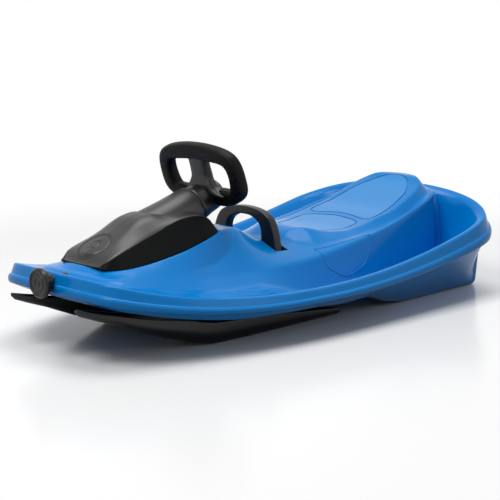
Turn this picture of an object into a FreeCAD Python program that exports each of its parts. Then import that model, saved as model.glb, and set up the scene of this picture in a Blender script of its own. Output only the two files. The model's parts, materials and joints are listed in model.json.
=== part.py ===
"""Two-rider steering sled: moulded deck and hull, two steered skis, brake lever and tow reel.

Millimetres. +X points to the nose, +Y to the driver's left, +Z up. The origin is on the ground,
under the middle of the sled.
"""
import FreeCAD, Part
import math
import os
import re
from FreeCAD import Placement, Rotation, Vector

doc = FreeCAD.newDocument("steering_sled")
sheet = doc.addObject("Spreadsheet::Sheet", "dims")

# Driving dimensions: alias, value in millimetres or degrees, meaning
DIMENSIONS = (
    ("half_length", 548, "origin to the tail lip"),
    ("nose_lip_place", 524, "front edge of the rim's lip"),
    ("crest_half_width", 271, "centre line to the outer edge of the rim's crest"),
    ("rim_flare", 12, "how far the rim's lip stands outside its crest"),
    ("crest_width", 14, "flat top of the rim"),
    ("rim_drop", 26, "height of the rim band at the waist"),
    ("rim_waist_height", 101, "lowest height of the rim's crest"),
    ("rim_waist_place", 70, "place of the lowest crest along the sled"),
    ("rim_nose_rise", 62, "rise of the crest from the waist to the nose"),
    ("rim_tail_rise", 97, "rise of the crest from the waist to the tail"),
    ("tail_crown", 19, "extra height of the crest at the middle of the tail"),
    ("shell_wall", 3, "wall of the deck and hull shells"),
    ("shell_gap", 0.6, "gap between the deck's rim and the hull's flange"),
    ("seat_height", 171, "top of the front saddle"),
    ("seat_back_rise", 66, "rise of the rear seat above the saddle"),
    ("well_floor", 62, "floor of the foot wells"),
    ("console_wall", 3, "wall of the console cover"),
    ("console_height", 240, "highest line of the console cover"),
    ("console_inset", 1, "console outline inside the deck's plateau edge"),
    ("seat_gap", 1.0, "gap between the console cover and the deck"),
    ("column_tilt", 18.5, "steering column above the horizontal, degrees"),
    ("hub_place", 124, "wheel centre on the column axis, along the sled"),
    ("hub_height", 254, "wheel centre on the column axis, height"),
    ("neck_radius", 42, "outside of the column neck"),
    ("neck_wall", 4, "wall of the column neck"),
    ("neck_start", 51, "column neck's end before the wheel plane"),
    ("neck_length", 98, "length of the column neck"),
    ("neck_gap", 0.3, "clearance of the neck in the deck and the console cover"),
    ("shaft_radius", 9, "steering shaft"),
    ("running_gap", 0.05, "radial clearance of shafts in their bushes"),
    ("column_bush_length", 14, "both column bushes"),
    ("wheel_half_width", 98, "centre line to the middle of the wheel rim's side"),
    ("wheel_top", 100, "column axis to the middle of the wheel rim's top bar"),
    ("wheel_bottom", 4, "column axis up to the middle of the wheel rim's bottom bar"),
    ("rim_tube_width", 32, "wheel rim, across"),
    ("rim_tube_depth", 27, "wheel rim, along the column"),
    ("hub_radius", 31, "wheel boss"),
    ("spoke_width", 44, "middle spoke of the wheel"),
    ("spoke_depth", 16, "thickness of the middle spoke"),
    ("cap_radius", 27, "cap on the driver's side of the wheel boss"),
    ("cap_depth", 7, "thickness of that cap"),
    ("crank_place", 199, "steering crank before the wheel plane"),
    ("crank_reach", 55, "column axis to the crank's pin"),
    ("crank_thickness", 10, "steering crank plate"),
    ("crank_width", 26, "steering crank plate, across"),
    ("crank_pin_radius", 6, "pin on the crank's end"),
    ("crank_pin_length", 33, "length of that pin in front of the crank"),
    ("crank_gap", 1.2, "side clearance of the crank's pin in the tie bar's fork"),
    ("king_pin_place", 210, "ski pivots along the sled"),
    ("king_pin_side", 108, "ski pivots from the centre line"),
    ("king_pin_radius", 8, "ski pivot pin"),
    ("pivot_bush_wall", 4, "wall of the ski pivot bush"),
    ("pivot_boss_radius", 24, "boss in the hull around each ski pivot"),
    ("pivot_boss_bottom", 54, "lower face of that boss"),
    ("pivot_boss_height", 28, "height of that boss"),
    ("bush_flange_radius", 18, "flange of the ski pivot bush"),
    ("bush_flange_height", 3, "flange of the ski pivot bush"),
    ("slide_gap", 0.3, "gap between faces that slide on each other"),
    ("steer_arm_reach", 95, "ski pivot to the arm's pin"),
    ("steer_arm_thickness", 9.4, "arm on top of the ski pivot"),
    ("steer_arm_width", 30, "arm on top of the ski pivot, across"),
    ("arm_pin_radius", 5, "pin on the arm's end"),
    ("arm_pin_height", 14, "height of that pin above the arm"),
    ("tie_bar_height", 10, "tie bar, section height"),
    ("tie_bar_width", 26, "tie bar, section width"),
    ("tie_bar_overhang", 15, "tie bar beyond the arm pins"),
    ("tie_slot_gap", 0.6, "side clearance of the arm pins in the tie bar"),
    ("tie_slot_half_length", 10, "half length of the slots in the tie bar"),
    ("fork_height", 46, "fork of the tie bar above the bar"),
    ("fork_prong", 9, "thickness of one prong"),
    ("fork_length", 14, "length of the prongs along the sled"),
    ("fork_lead", 9, "prongs in front of the tie bar's middle"),
    ("nut_radius", 13, "nut on the ski pivot, across corners"),
    ("nut_height", 8, "nut on the ski pivot"),
    ("ski_floor", 5, "floor of the ski"),
    ("ski_wall", 5, "side wall of the ski"),
    ("ski_flat_height", 0.15, "underside of the ski over its flat run"),
    ("ski_tip_place", 538, "front end of the ski"),
    ("ski_tail_place", -93, "rear end of the ski"),
    ("ski_tip_rise", 96, "underside of the ski at its tip"),
    ("ski_bevel", 8, "bevel along the ski's lower edge"),
    ("saddle_length", 72, "pivot block on the ski, along"),
    ("saddle_width", 56, "pivot block on the ski, across"),
    ("saddle_flange", 7, "height of the pivot block's foot"),
    ("saddle_foot", 12, "foot of the pivot block beyond the block"),
    ("saddle_gap", 0.15, "gap between the pivot block's foot and the ski's floor"),
    ("screw_radius", 3, "screws through the pivot block's foot"),
    ("screw_head_radius", 5.5, "heads of those screws"),
    ("screw_head_height", 3, "heads of those screws"),
    ("handle_place", 16, "brake lever along the sled"),
    ("handle_thickness", 20, "brake lever, along the sled"),
    ("handle_top", 222, "top of the brake lever's arch"),
    ("handle_half_width", 93, "outside of the brake lever's feet"),
    ("handle_leg", 45, "width of one leg at its foot"),
    ("handle_grip", 17, "height of the arch at its top"),
    ("handle_slot_gap", 2.5, "clearance round each leg in the deck"),
    ("handle_travel", 12, "room behind each leg for the pull"),
    ("brake_axis_height", 112, "brake shaft above the ground"),
    ("brake_shaft_radius", 7, "brake shaft"),
    ("brake_post_side", 104, "brake shaft's posts from the centre line"),
    ("brake_post_width", 12, "those posts, across"),
    ("brake_post_length", 34, "those posts, along the sled"),
    ("brake_bush_wall", 3, "wall of the brake shaft's bushes"),
    ("brake_arm_reach", 190, "brake shaft back to the claw"),
    ("brake_arm_drop", 54, "brake shaft down to the claw's clamp"),
    ("brake_arm_width", 16, "brake arm, across"),
    ("brake_arm_depth", 18, "brake arm, height of its section"),
    ("brake_eye_radius", 14, "eye of the brake arm on its shaft"),
    ("claw_width", 52, "brake claw, across"),
    ("claw_thickness", 6, "brake claw plate"),
    ("claw_depth", 24, "brake claw, from its clamp to its teeth"),
    ("claw_slot_gap", 5, "clearance round the claw in the hull"),
    ("spring_wall", 3, "return spring's wire"),
    ("spring_length", 26, "return spring along the shaft"),
    ("spring_gap", 0.4, "clearance of the return spring round the shaft"),
    ("knob_radius", 28, "tow knob"),
    ("knob_thickness", 12, "tow knob"),
    ("knob_stand_off", 12, "nose lip to the tow knob's back"),
    ("knob_height", 141, "tow knob's centre above the ground"),
    ("shank_radius", 6, "tow knob's shank"),
    ("shank_length", 52, "tow knob's shank"),
    ("guide_wall", 5, "wall of the tow guide"),
    ("guide_length", 52, "tow guide"),
    ("collar_radius", 20, "collar of the tow guide in front of the nose"),
    ("collar_length", 10, "that collar"),
    ("reel_radius", 16, "reel case, outside"),
    ("reel_rise", 24, "reel axle above the rim's lowest crest"),
    ("reel_wall", 2, "reel case wall"),
    ("reel_width", 36, "reel case, across"),
    ("drum_gap", 1.2, "clearance of the drum in its case"),
    ("reel_axle_radius", 4, "reel axle"),
)
for row, (alias, value, meaning) in enumerate(DIMENSIONS, start=1):
    sheet.set(f"A{row}", meaning)
    sheet.set(f"B{row}", str(value))
    sheet.setAlias(f"B{row}", alias)
doc.recompute()

ALIASES = {alias for alias, _, _ in DIMENSIONS}
NODES = {}


def size(alias):
    """Value of one driving dimension."""
    return float(sheet.get(alias))


def bind(obj, prop, formula):
    """Bind a property to a formula of driving dimensions."""
    text = re.sub(r"[a-z_]+", lambda m: f"dims.{m[0]}" if m[0] in ALIASES else m[0], str(formula))
    obj.setExpression(prop, text)


def node(name, obj):
    """Register a finished sub-part under its node name."""
    obj.Label = name
    NODES[name] = obj
    return obj


# Primitives bound to the sheet

TURN_TO = {
    "z": Rotation(),
    "y": Rotation(Vector(1, 0, 0), -90),
    "x": Rotation(Vector(0, 1, 0), 90),
}


def place(obj, x="0", y="0", z="0"):
    """Bind the base point of an object's placement."""
    for axis, formula in (("x", x), ("y", y), ("z", z)):
        bind(obj, f"Placement.Base.{axis}", formula)
    return obj


def cylinder(name, radius, height, x="0", y="0", z="0", axis="z"):
    """Cylinder that starts at x, y, z and runs along an axis of the sled."""
    obj = doc.addObject("Part::Cylinder", name)
    bind(obj, "Radius", radius)
    bind(obj, "Height", height)
    obj.Placement = Placement(Vector(), TURN_TO[axis])
    return place(obj, x, y, z)


def box(name, length, width, height, x="0", y="0", z="0"):
    """Box centred on x and y that stands on z."""
    obj = doc.addObject("Part::Box", name)
    bind(obj, "Length", length)
    bind(obj, "Width", width)
    bind(obj, "Height", height)
    return place(obj, f"({x}) - ({length}) / 2", f"({y}) - ({width}) / 2", z)


def along_column(obj, start, side="0", rise="0"):
    """Turn an object's local Z along the column, with local X up in the wheel's plane."""
    obj.Placement = Placement(Vector(), Rotation(Vector(0, 1, 0), -70))
    bind(obj, "Placement.Rotation.Angle", "column_tilt - 90")
    place(
        obj,
        f"hub_place - ({start}) * cos(column_tilt * 1 deg) + ({rise}) * sin(column_tilt * 1 deg)",
        side,
        f"hub_height + ({start}) * sin(column_tilt * 1 deg) + ({rise}) * cos(column_tilt * 1 deg)",
    )
    return obj


def column_cylinder(name, radius, start, length, rise="0"):
    """Cylinder on the column axis, start measured from the wheel plane towards the driver."""
    obj = doc.addObject("Part::Cylinder", name)
    bind(obj, "Radius", radius)
    bind(obj, "Height", length)
    return along_column(obj, start, rise=rise)


def cut(name, base, *tools):
    """Base with the tools taken away."""
    result = base
    for count, tool in enumerate(tools, start=1):
        step = doc.addObject("Part::Cut", f"{name}_cut_{count}")
        step.Base = result
        step.Tool = tool
        result = step
    return result


def fuse(name, *pieces):
    """Pieces joined to one solid."""
    result = doc.addObject("Part::MultiFuse", f"{name}_fuse")
    result.Shapes = list(pieces)
    result.Refine = True
    return result


def form(name, shape):
    """A free-form solid worked out from the sheet."""
    obj = doc.addObject("Part::Feature", f"{name}_form")
    obj.Shape = shape
    return obj


# Free-form shells from closed lines that run round the sled

LINE_POINTS = 33
END_HALF_WIDTH = 6.0
MITRE_LIMIT = 0.6
SAME_WAY = 1
LEVEL = 1e-6


def smooth(x, stations):
    """Monotone cubic through (x, value) stations, held beyond their ends."""
    pts = sorted(stations)
    xs = [p[0] for p in pts]
    ys = [p[1] for p in pts]
    if x <= xs[0]:
        return ys[0]
    if x >= xs[-1]:
        return ys[-1]
    steps = [b - a for a, b in zip(xs, xs[1:])]
    rates = [(b - a) / h for a, b, h in zip(ys, ys[1:], steps)]
    slopes = [rates[0]]
    for left, right in zip(rates, rates[1:]):
        slopes.append(0.0 if left * right <= 0 else 2 * left * right / (left + right))
    slopes.append(rates[-1])
    i = max(k for k in range(len(steps)) if xs[k] <= x)
    h = steps[i]
    u = (x - xs[i]) / h
    return (
        (2 * u**3 - 3 * u**2 + 1) * ys[i]
        + (u**3 - 2 * u**2 + u) * h * slopes[i]
        + (3 * u**2 - 2 * u**3) * ys[i + 1]
        + (u**3 - u**2) * h * slopes[i + 1]
    )


def ease(start, end, value):
    """Smooth step from 0 at start to 1 at end."""
    u = min(1.0, max(0.0, (value - start) / (end - start)))
    return u * u * (3 - 2 * u)


def spread(nose, tail):
    """Places from nose to tail, closer together at both ends."""
    middle = (nose + tail) / 2
    half = (nose - tail) / 2
    turns = [math.pi * k / (LINE_POINTS - 1) for k in range(LINE_POINTS)]
    return [middle + half * math.cos(turn) for turn in turns]


def mirrored(points):
    """The same points on the other side of the centre plane."""
    return [Vector(p.x, -p.y, p.z) for p in points]


def spline(points):
    """Smooth edge through points, with evenly spaced parameters."""
    curve = Part.BSplineCurve()
    curve.interpolate(Points=points, Parameters=[float(k) for k in range(len(points))])
    return curve.toShape()


def line_edges(line):
    """Left side, tail, right side and nose of one closed line, given as (left, right) points."""
    left, right = line
    return (
        spline(left),
        Part.makeLine(left[-1], right[-1]),
        spline(right),
        Part.makeLine(left[0], right[0]),
    )


def lid(edges):
    """Face that closes one line: flat where the line is level, otherwise ruled from side to side."""
    wire = Part.Wire(Part.__sortEdges__(list(edges)))
    if wire.BoundBox.ZLength < LEVEL:
        return Part.Face(wire)
    return Part.makeRuledSurface(edges[0], edges[2], SAME_WAY)


def closed_solid(lines):
    """Solid bounded by ruled bands between successive lines and a lid on the first and last."""
    edges = [line_edges(line) for line in lines]
    faces = [lid(edges[0])]
    for inner, outer in zip(edges, edges[1:]):
        faces += [Part.makeRuledSurface(a, b, SAME_WAY) for a, b in zip(inner, outer)]
    faces.append(lid(edges[-1]))
    shell = Part.Shell(faces)
    shell.sewShape()
    solid = Part.Solid(shell)
    if solid.Volume < 0:
        solid.reverse()
    return solid


def band_normal(across, along):
    """Unit normal of a band, from its directions across and along."""
    normal = across.cross(along)
    normal.normalize()
    return normal


def offset_lines(sides, distance):
    """Left-hand lines moved by a distance against the surface that they span, with mitred corners."""
    moved = []
    for k, side in enumerate(sides):
        points = []
        for i, point in enumerate(side):
            before = side[max(i - 1, 0)]
            after = side[min(i + 1, LINE_POINTS - 1)]
            run = Vector(after.x - before.x, 0, after.z - before.z)
            if i == 0:
                before = Vector(after.x, -after.y, after.z)
            if i == LINE_POINTS - 1:
                after = Vector(before.x, -before.y, before.z)
            along = after - before
            normals = []
            if k == 0:
                normals.append(band_normal(Vector(0, 1, 0), run))
            else:
                normals.append(band_normal(point - sides[k - 1][i], along))
            if k < len(sides) - 1:
                normals.append(band_normal(sides[k + 1][i] - point, along))
            mitre = normals[0] + normals[-1]
            mitre.normalize()
            reach = distance / max(mitre.dot(normals[0]), MITRE_LIMIT)
            points.append(point - mitre * reach)
        moved.append(points)
    return moved


def both_sides(sides):
    """Left-hand lines paired with their mirror images."""
    return [(side, mirrored(side)) for side in sides]


# Rim: plan shape and heights that the deck and hull share

WIDEST_PLACE = -180.0
NOSE_NARROWING = 0.48
NOSE_POWER = 3.0
NOSE_BLUNTNESS = 90.0
TAIL_SQUARENESS = 8.9
CREST_NOSE_RISE_POWER = 2.7
CREST_TAIL_RISE_POWER = 2.0
NOSE_DROP_GAIN = 17.0
NOSE_DROP_POWER = 3.0
TAIL_DROP_GAIN = 30.0
RIDGE_SHARE = 0.62
CROWN_START = 440.0
CROWN_FULL = 520.0

HALF_LENGTH = size("half_length")
NOSE_LIP = size("nose_lip_place")
CREST_NOSE = NOSE_LIP - size("rim_flare")
CREST_TAIL = size("rim_flare") - HALF_LENGTH
WALL = size("shell_wall")


def rim_half_width(x, offset, nose, tail, squareness=TAIL_SQUARENESS):
    """Half width of a line that runs an offset outside the rim's crest."""
    width = size("crest_half_width") + offset
    if x >= WIDEST_PLACE:
        share = min(1.0, (x - WIDEST_PLACE) / (nose - WIDEST_PLACE))
        width *= 1 - NOSE_NARROWING * share**NOSE_POWER
        width *= math.sqrt(1 - share**NOSE_BLUNTNESS)
    else:
        share = min(1.0, (WIDEST_PLACE - x) / (WIDEST_PLACE - tail))
        width *= math.sqrt(1 - share**squareness)
    return math.hypot(width, END_HALF_WIDTH)


def rim_share(x):
    """Share of the way from the rim's waist to the nose (positive) or the tail (negative)."""
    waist = size("rim_waist_place")
    if x >= waist:
        return min(1.0, (x - waist) / (NOSE_LIP - waist))
    return -min(1.0, (waist - x) / (waist + HALF_LENGTH))


def crest_height(x, y):
    """Height of the rim's crest."""
    share = rim_share(x)
    if share >= 0:
        return size("rim_waist_height") + size("rim_nose_rise") * share**CREST_NOSE_RISE_POWER
    across = min(1.0, abs(y) / size("crest_half_width"))
    crown = size("tail_crown") * ease(CROWN_START, CROWN_FULL, -x) * (1 - across**2)
    return size("rim_waist_height") + size("rim_tail_rise") * (-share) ** CREST_TAIL_RISE_POWER + crown


def rim_drop(x):
    """Height of the rim band from its crest to its lip."""
    share = rim_share(x)
    if share >= 0:
        return size("rim_drop") + NOSE_DROP_GAIN * share**NOSE_DROP_POWER
    return size("rim_drop") + TAIL_DROP_GAIN * (-share) ** 1.5


def rim_line(offset, share_of_drop):
    """Left half of a line of the rim band."""
    nose = CREST_NOSE + offset
    tail = CREST_TAIL - offset
    points = []
    for x in spread(nose, tail):
        y = rim_half_width(x, offset, nose, tail)
        points.append(Vector(x, y, crest_height(x, y) - share_of_drop * rim_drop(x)))
    return points


# Foot wells

WELL_NOSE = CREST_NOSE - size("crest_width") - 6
WELL_TAIL = CREST_TAIL + size("crest_width") + 14
WELL_RUN = 0.72
WELL_SHOULDER = 8.0
BRIDGE_INNER = 92.0
BRIDGE_OUTER = 122.0
BRIDGE_PLACE = -440.0
FLOOR_UNDER_CREST = 3.0
BRIDGE_ABOVE_CREST = 5.0
FOOT_RAMP = ((150, 36), (100, 24), (40, 6), (0, 0), (-100, -2), (-400, 4))
FRONT_SHELF = ((499, 93), (425, 69), (335, 49), (250, 41), (190, 38))


def well_height(x, y):
    """Height of the foot well's floor, which rises to the bridge behind the seat."""
    level = size("well_floor") + smooth(x, FRONT_SHELF + FOOT_RAMP)
    crest = crest_height(x, y)
    level = min(level, crest - FLOOR_UNDER_CREST)
    if x < BRIDGE_PLACE:
        level += (crest + BRIDGE_ABOVE_CREST - level) * ease(BRIDGE_OUTER, BRIDGE_INNER, y)
    return level


def well_outer_offset(x):
    """Offset of the well's outer corner from the crest, for its sloping wall."""
    side = rim_half_width(x, 0, CREST_NOSE, CREST_TAIL)
    depth = crest_height(x, side) - well_height(x, max(side, BRIDGE_OUTER))
    return -size("crest_width") - WELL_SHOULDER - WELL_RUN * depth


def well_outer_line():
    """Left half of the well floor's outer corner."""
    points = []
    for x in spread(WELL_NOSE, WELL_TAIL):
        y = rim_half_width(x, well_outer_offset(x), WELL_NOSE, WELL_TAIL)
        points.append(Vector(x, y, well_height(x, y)))
    return points


# Middle body: lines given as stations of half width and height along the sled

ISLAND_ROUND = 30.0


def body_line(nose, tail, widths, heights, base=0.0, roundness=ISLAND_ROUND):
    """Left half of a line round the middle body, rounded at both ends."""
    middle = (nose + tail) / 2
    half = (nose - tail) / 2
    points = []
    for x in spread(nose, tail):
        share = min(1.0, abs(x - middle) / half)
        y = smooth(x, widths) * math.sqrt(1 - share**roundness)
        y = math.hypot(y, END_HALF_WIDTH)
        z = heights(x, y) if callable(heights) else base + smooth(x, heights)
        points.append(Vector(x, y, z))
    return points


SEAT = size("seat_height")
SEAT_BACK = SEAT + size("seat_back_rise")
BRAKE_AXIS = size("brake_axis_height")
WELL_INNER_WIDTHS = (
    (495, 118), (425, 137), (335, 155), (269, 162), (196, 165), (100, 168),
    (0, 172), (-100, 172), (-250, 164), (-400, 146), (-470, 126), (-500, 112),
)
LEDGE_OUTER_WIDTHS = (
    (487, 104), (408, 117), (310, 127), (199, 130), (85, 136), (3, 139),
    (-80, 143), (-195, 142), (-282, 138), (-396, 125), (-470, 110), (-500, 98),
)
LEDGE_OUTER_HEIGHTS = (
    (487, 153), (408, 141), (310, 130), (199, BRAKE_AXIS + 10), (85, BRAKE_AXIS + 9), (3, BRAKE_AXIS + 11),
    (-80, BRAKE_AXIS + 19), (-195, 148), (-282, 163), (-396, 190), (-470, 206), (-500, 213),
)
LEDGE_INNER_WIDTHS = (
    (477, 62), (397, 104), (299, 115), (215, 106), (165, 95), (139, 84), (114, 66), (75, 61),
    (38, 58), (0, 62), (-30, 80), (-60, 98), (-92, 110), (-215, 119), (-361, 114), (-418, 107), (-470, 95),
    (-490, 84),
)
LEDGE_INNER_HEIGHTS = (
    (477, 155), (397, 149), (299, 141), (215, 142), (165, 156), (139, 173), (114, 192), (75, BRAKE_AXIS + 65),
    (38, BRAKE_AXIS + 48), (0, BRAKE_AXIS + 39), (-30, BRAKE_AXIS + 32), (-60, BRAKE_AXIS + 29),
    (-92, 142), (-215, 149), (-361, 171), (-418, 192), (-470, 208), (-500, 216),
)
TOP_WIDTHS = (
    (439, 70), (409, 83), (371, 87), (326, 89), (276, 88), (222, 83), (184, 77), (150, 69), (114, 56),
    (75, 50), (38, 46), (0, 42), (-30, 40), (-60, 44), (-98, 66), (-150, 88), (-190, 96), (-251, 100),
    (-330, 100), (-400, 96), (-450, 84), (-475, 66),
)
PLATEAU_HEIGHTS = ((456, 163), (439, 159), (409, 158), (371, 160), (326, 165), (276, 172), (222, 182), (184, 190))
COAMING_HEIGHTS = (
    (150, 197), (114, 196), (75, BRAKE_AXIS + 68), (38, BRAKE_AXIS + 50), (0, BRAKE_AXIS + 38),
    (-30, BRAKE_AXIS + 36),
)


def top_height(x, y=0.0):
    """Height of the middle body's top: console plateau, coaming, saddle and rear seat."""
    seat = (
        (-60, SEAT - 7), (-85, SEAT - 1), (-105, SEAT - 4), (-125, SEAT - 10), (-150, SEAT - 14),
        (-190, SEAT - 15), (-225, SEAT - 11), (-250, SEAT - 7), (-300, SEAT + 4), (-330, SEAT + 10),
        (-400, SEAT + 34),
        (-450, SEAT_BACK - 12), (-475, SEAT_BACK), (-490, SEAT_BACK + 1),
    )
    return smooth(x, PLATEAU_HEIGHTS + COAMING_HEIGHTS + seat)


TOP_NOSE = CREST_NOSE - 56.0
TOP_TAIL = CREST_TAIL + 46.0
LEDGE_INNER_NOSE = CREST_NOSE - 41.0
LEDGE_INNER_TAIL = CREST_TAIL + 33.0
LEDGE_OUTER_NOSE = CREST_NOSE - 32.0
LEDGE_OUTER_TAIL = CREST_TAIL + 30.0


def deck_lines():
    """Left halves of the deck's lines, from the seat's edge out to the rim's lip."""
    return [
        body_line(TOP_NOSE, TOP_TAIL, TOP_WIDTHS, top_height),
        body_line(LEDGE_INNER_NOSE, LEDGE_INNER_TAIL, LEDGE_INNER_WIDTHS, LEDGE_INNER_HEIGHTS),
        body_line(LEDGE_OUTER_NOSE, LEDGE_OUTER_TAIL, LEDGE_OUTER_WIDTHS, LEDGE_OUTER_HEIGHTS),
        body_line(WELL_NOSE - 6, WELL_TAIL + 4, WELL_INNER_WIDTHS, well_height),
        well_outer_line(),
        rim_line(-size("crest_width"), 0.06),
        rim_line(0, 0),
        rim_line(RIDGE_SHARE * size("rim_flare"), RIDGE_SHARE),
        rim_line(size("rim_flare"), 1),
    ]


DECK = deck_lines()

# Upper deck

deck_inside = offset_lines(DECK, WALL)
deck_shell = form("deck", closed_solid(both_sides(DECK + deck_inside[::-1])))

SLOT_LENGTH = "handle_thickness + handle_travel + 2 * handle_slot_gap"
SLOT_WIDTH = "handle_leg + 2 * handle_slot_gap"
SLOT_PLACE = "handle_place - handle_travel / 2"
SLOT_SIDE = "handle_half_width - handle_leg / 2"
TALL = 120
handle_slots = [
    box(f"handle_slot_{side}", SLOT_LENGTH, SLOT_WIDTH, TALL, SLOT_PLACE, f"{sign} * ({SLOT_SIDE})",
        "brake_axis_height - 20")
    for side, sign in (("left", 1), ("right", -1))
]
neck_hole = column_cylinder("neck_hole", "neck_radius + neck_gap", "-neck_start - neck_length - neck_wall",
                            "neck_length + 60")
crank_window = box("crank_window", 90, "2 * crank_reach + crank_width", TALL, "hub_place + 180", "0",
                   "tie_bar_height + pivot_boss_bottom")
guide_hole = cylinder("guide_hole", "shank_radius + guide_wall + running_gap", "guide_length + 60",
                      "nose_lip_place + knob_stand_off - guide_length - 20", "0", "knob_height", "x")
node("upper_deck_shell", cut("deck", deck_shell, *handle_slots, neck_hole, crank_window, guide_hole))

# Lower hull

PAN_TAIL = CREST_TAIL + 1
PAN_NOSE = CREST_NOSE - 10
PAN_HEIGHTS = (
    (515, 112), (465, 99), (400, 84), (330, 72), (250, 64), (150, 62), (40, 54), (0, 48), (-250, 50), (-400, 66),
    (-480, 95), (-530, 122),
)
PAN_OUTSIDE_WELL = 16.0
PAD_NOSE = -197.0
PAD_TAIL = CREST_TAIL + 6.0
PAD_WIDTHS = ((-197, 78), (-235, 112), (-300, 151), (-405, 172), (-526, 177))
PAD_ROUND = 80.0
PAD_DRAFT = 7.0
PAD_TOP = 45.0
PAN_EASE = 60.0


def pan_line():
    """Left half of the hull's lower corner."""
    points = []
    for x in spread(PAN_NOSE, PAN_TAIL):
        y = rim_half_width(x, well_outer_offset(x) + PAN_OUTSIDE_WELL, PAN_NOSE, PAN_TAIL, PAD_ROUND)
        points.append(Vector(x, y, smooth(x, PAN_HEIGHTS)))
    return points


def pad_line(grow, height):
    """Left half of the flat pad that the tail rests on."""
    widths = [(x, y + grow) for x, y in PAD_WIDTHS]
    return body_line(PAD_NOSE + grow, PAD_TAIL - grow / 2, widths, ((0, height),), roundness=PAD_ROUND)


def between(inner, outer, share):
    """Left half of a line between two others: straight across beside the pad, on the pan's height before it."""
    points = []
    for a, b in zip(inner, outer):
        point = a + (b - a) * share
        point.z += (smooth(point.x, PAN_HEIGHTS) - point.z) * ease(PAD_NOSE - PAN_EASE, PAD_NOSE, point.x)
        points.append(point)
    return points


PAN_SHARES = (0.25, 0.5, 0.75, 0.9)
hull_flange = offset_lines(DECK[-3:], WALL + size("shell_gap"))[1:]
pad_top = pad_line(PAD_DRAFT, PAD_TOP)
pan_corner = pan_line()
pan_lines = [between(pad_top, pan_corner, share) for share in PAN_SHARES]
hull_outside = [pad_line(0, 0), pad_top, *pan_lines, pan_corner, hull_flange[1], hull_flange[0]]
hull_inside = offset_lines(hull_outside, -WALL)
hull_shell = form("hull", closed_solid(both_sides(hull_outside + hull_inside[::-1])))

PIVOTS = (("left", 1), ("right", -1))
pivot_bosses = [
    cylinder(f"pivot_boss_{side}", "pivot_boss_radius", "pivot_boss_height", "king_pin_place",
             f"{sign} * king_pin_side", "pivot_boss_bottom")
    for side, sign in PIVOTS
]
brake_posts = [
    box(f"brake_post_{side}", "brake_post_length", "brake_post_width", "brake_axis_height - 34",
        "handle_place", f"{sign} * brake_post_side", "52")
    for side, sign in PIVOTS
]
hull_body = fuse("hull", hull_shell, *pivot_bosses, *brake_posts)
pivot_bores = [
    cylinder(f"pivot_bore_{side}", "king_pin_radius + running_gap + pivot_bush_wall", 200, "king_pin_place",
             f"{sign} * king_pin_side", "0")
    for side, sign in PIVOTS
]
BRAKE_BUSH_RADIUS = "brake_shaft_radius + running_gap + brake_bush_wall"
brake_bore = cylinder("brake_bore", BRAKE_BUSH_RADIUS, "2 * brake_post_side + 4 * brake_post_width", "handle_place",
                      "-brake_post_side - 2 * brake_post_width", "brake_axis_height", "y")
CLAW_PLACE = "handle_place - brake_arm_reach"
claw_slot = box("claw_slot", "claw_thickness + 30 + 2 * claw_slot_gap", "claw_width + 2 * claw_slot_gap", 90,
                f"{CLAW_PLACE} + 15", "0", "-10")
arm_slot = box("arm_slot", "brake_arm_reach - 80", "brake_arm_width + 2 * claw_slot_gap", 90,
               "handle_place - brake_arm_reach / 2 - 40", "0", "-10")
guide_notch = cylinder("guide_notch", "shank_radius + guide_wall + running_gap", "guide_length + 60",
                       "nose_lip_place + knob_stand_off - guide_length - 20", "0", "knob_height", "x")
node("lower_hull_shell", cut("hull", hull_body, *pivot_bores, brake_bore, claw_slot, arm_slot, guide_notch))

# Console cover

CONSOLE_REAR = 150.0
CREASE_WIDTHS = ((447, 50), (428, 65), (379, 62), (331, 60), (218, 60), (174, 57), (158, 50))
CREASE_HEIGHTS = (
    (447, -75), (428, -62), (379, -46), (331, -32), (283, -17), (250, -9), (218, -7), (191, -12), (174, -20),
    (158, -34),
)
RIDGE_WIDTHS = ((436, 26), (400, 32), (200, 32), (168, 28))
RIDGE_HEIGHTS = (
    (436, -59), (415, -48), (371, -26), (326, -4), (300, 0), (276, -2), (222, 0), (184, -9), (168, -20),
)


def console_lines():
    """Left halves of the console cover's lines, from its ridge down to its foot."""
    top = size("console_height")
    inset = size("console_inset")
    gap = size("seat_gap")
    foot_widths = [(x, y - inset) for x, y in TOP_WIDTHS]
    return [
        body_line(TOP_NOSE - 19, CONSOLE_REAR + 16, RIDGE_WIDTHS, RIDGE_HEIGHTS, top),
        body_line(TOP_NOSE - 9, CONSOLE_REAR + 8, CREASE_WIDTHS, CREASE_HEIGHTS, top),
        body_line(TOP_NOSE - inset, CONSOLE_REAR, foot_widths, lambda x, y: top_height(x) + gap),
    ]


console_outside = console_lines()
console_inside = offset_lines(console_outside, size("console_wall"))
for inside, outside in zip(console_inside[-1], console_outside[-1]):
    inside.z = outside.z
console_shell = form("console", closed_solid(both_sides(console_outside + console_inside[::-1])))
console_hole = column_cylinder("console_hole", "neck_radius + neck_gap", "-neck_start - neck_length - neck_wall",
                               "neck_length + 60")
node("console_cover", cut("console", console_shell, console_hole))

# Steering column

neck_outside = column_cylinder("neck_outside", "neck_radius", "-neck_start - neck_length", "neck_length")
neck_inside = column_cylinder("neck_inside", "neck_radius - neck_wall", "-neck_start - 2 * neck_length",
                              "3 * neck_length")
node("column_neck", cut("neck", neck_outside, neck_inside))

for name, start in (("upper_column_bush", "-neck_start - column_bush_length"),
                    ("lower_column_bush", "-neck_start - neck_length")):
    ring = column_cylinder(f"{name}_ring", "neck_radius - neck_wall", start, "column_bush_length")
    hole = column_cylinder(f"{name}_hole", "shaft_radius + running_gap", f"{start} - 5", "column_bush_length + 10")
    node(name, cut(name, ring, hole))

SHAFT_FRONT = "-crank_place - crank_thickness"
node("steering_shaft", column_cylinder("shaft", "shaft_radius", SHAFT_FRONT,
                                       "crank_place + crank_thickness + rim_tube_depth / 2"))

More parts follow.
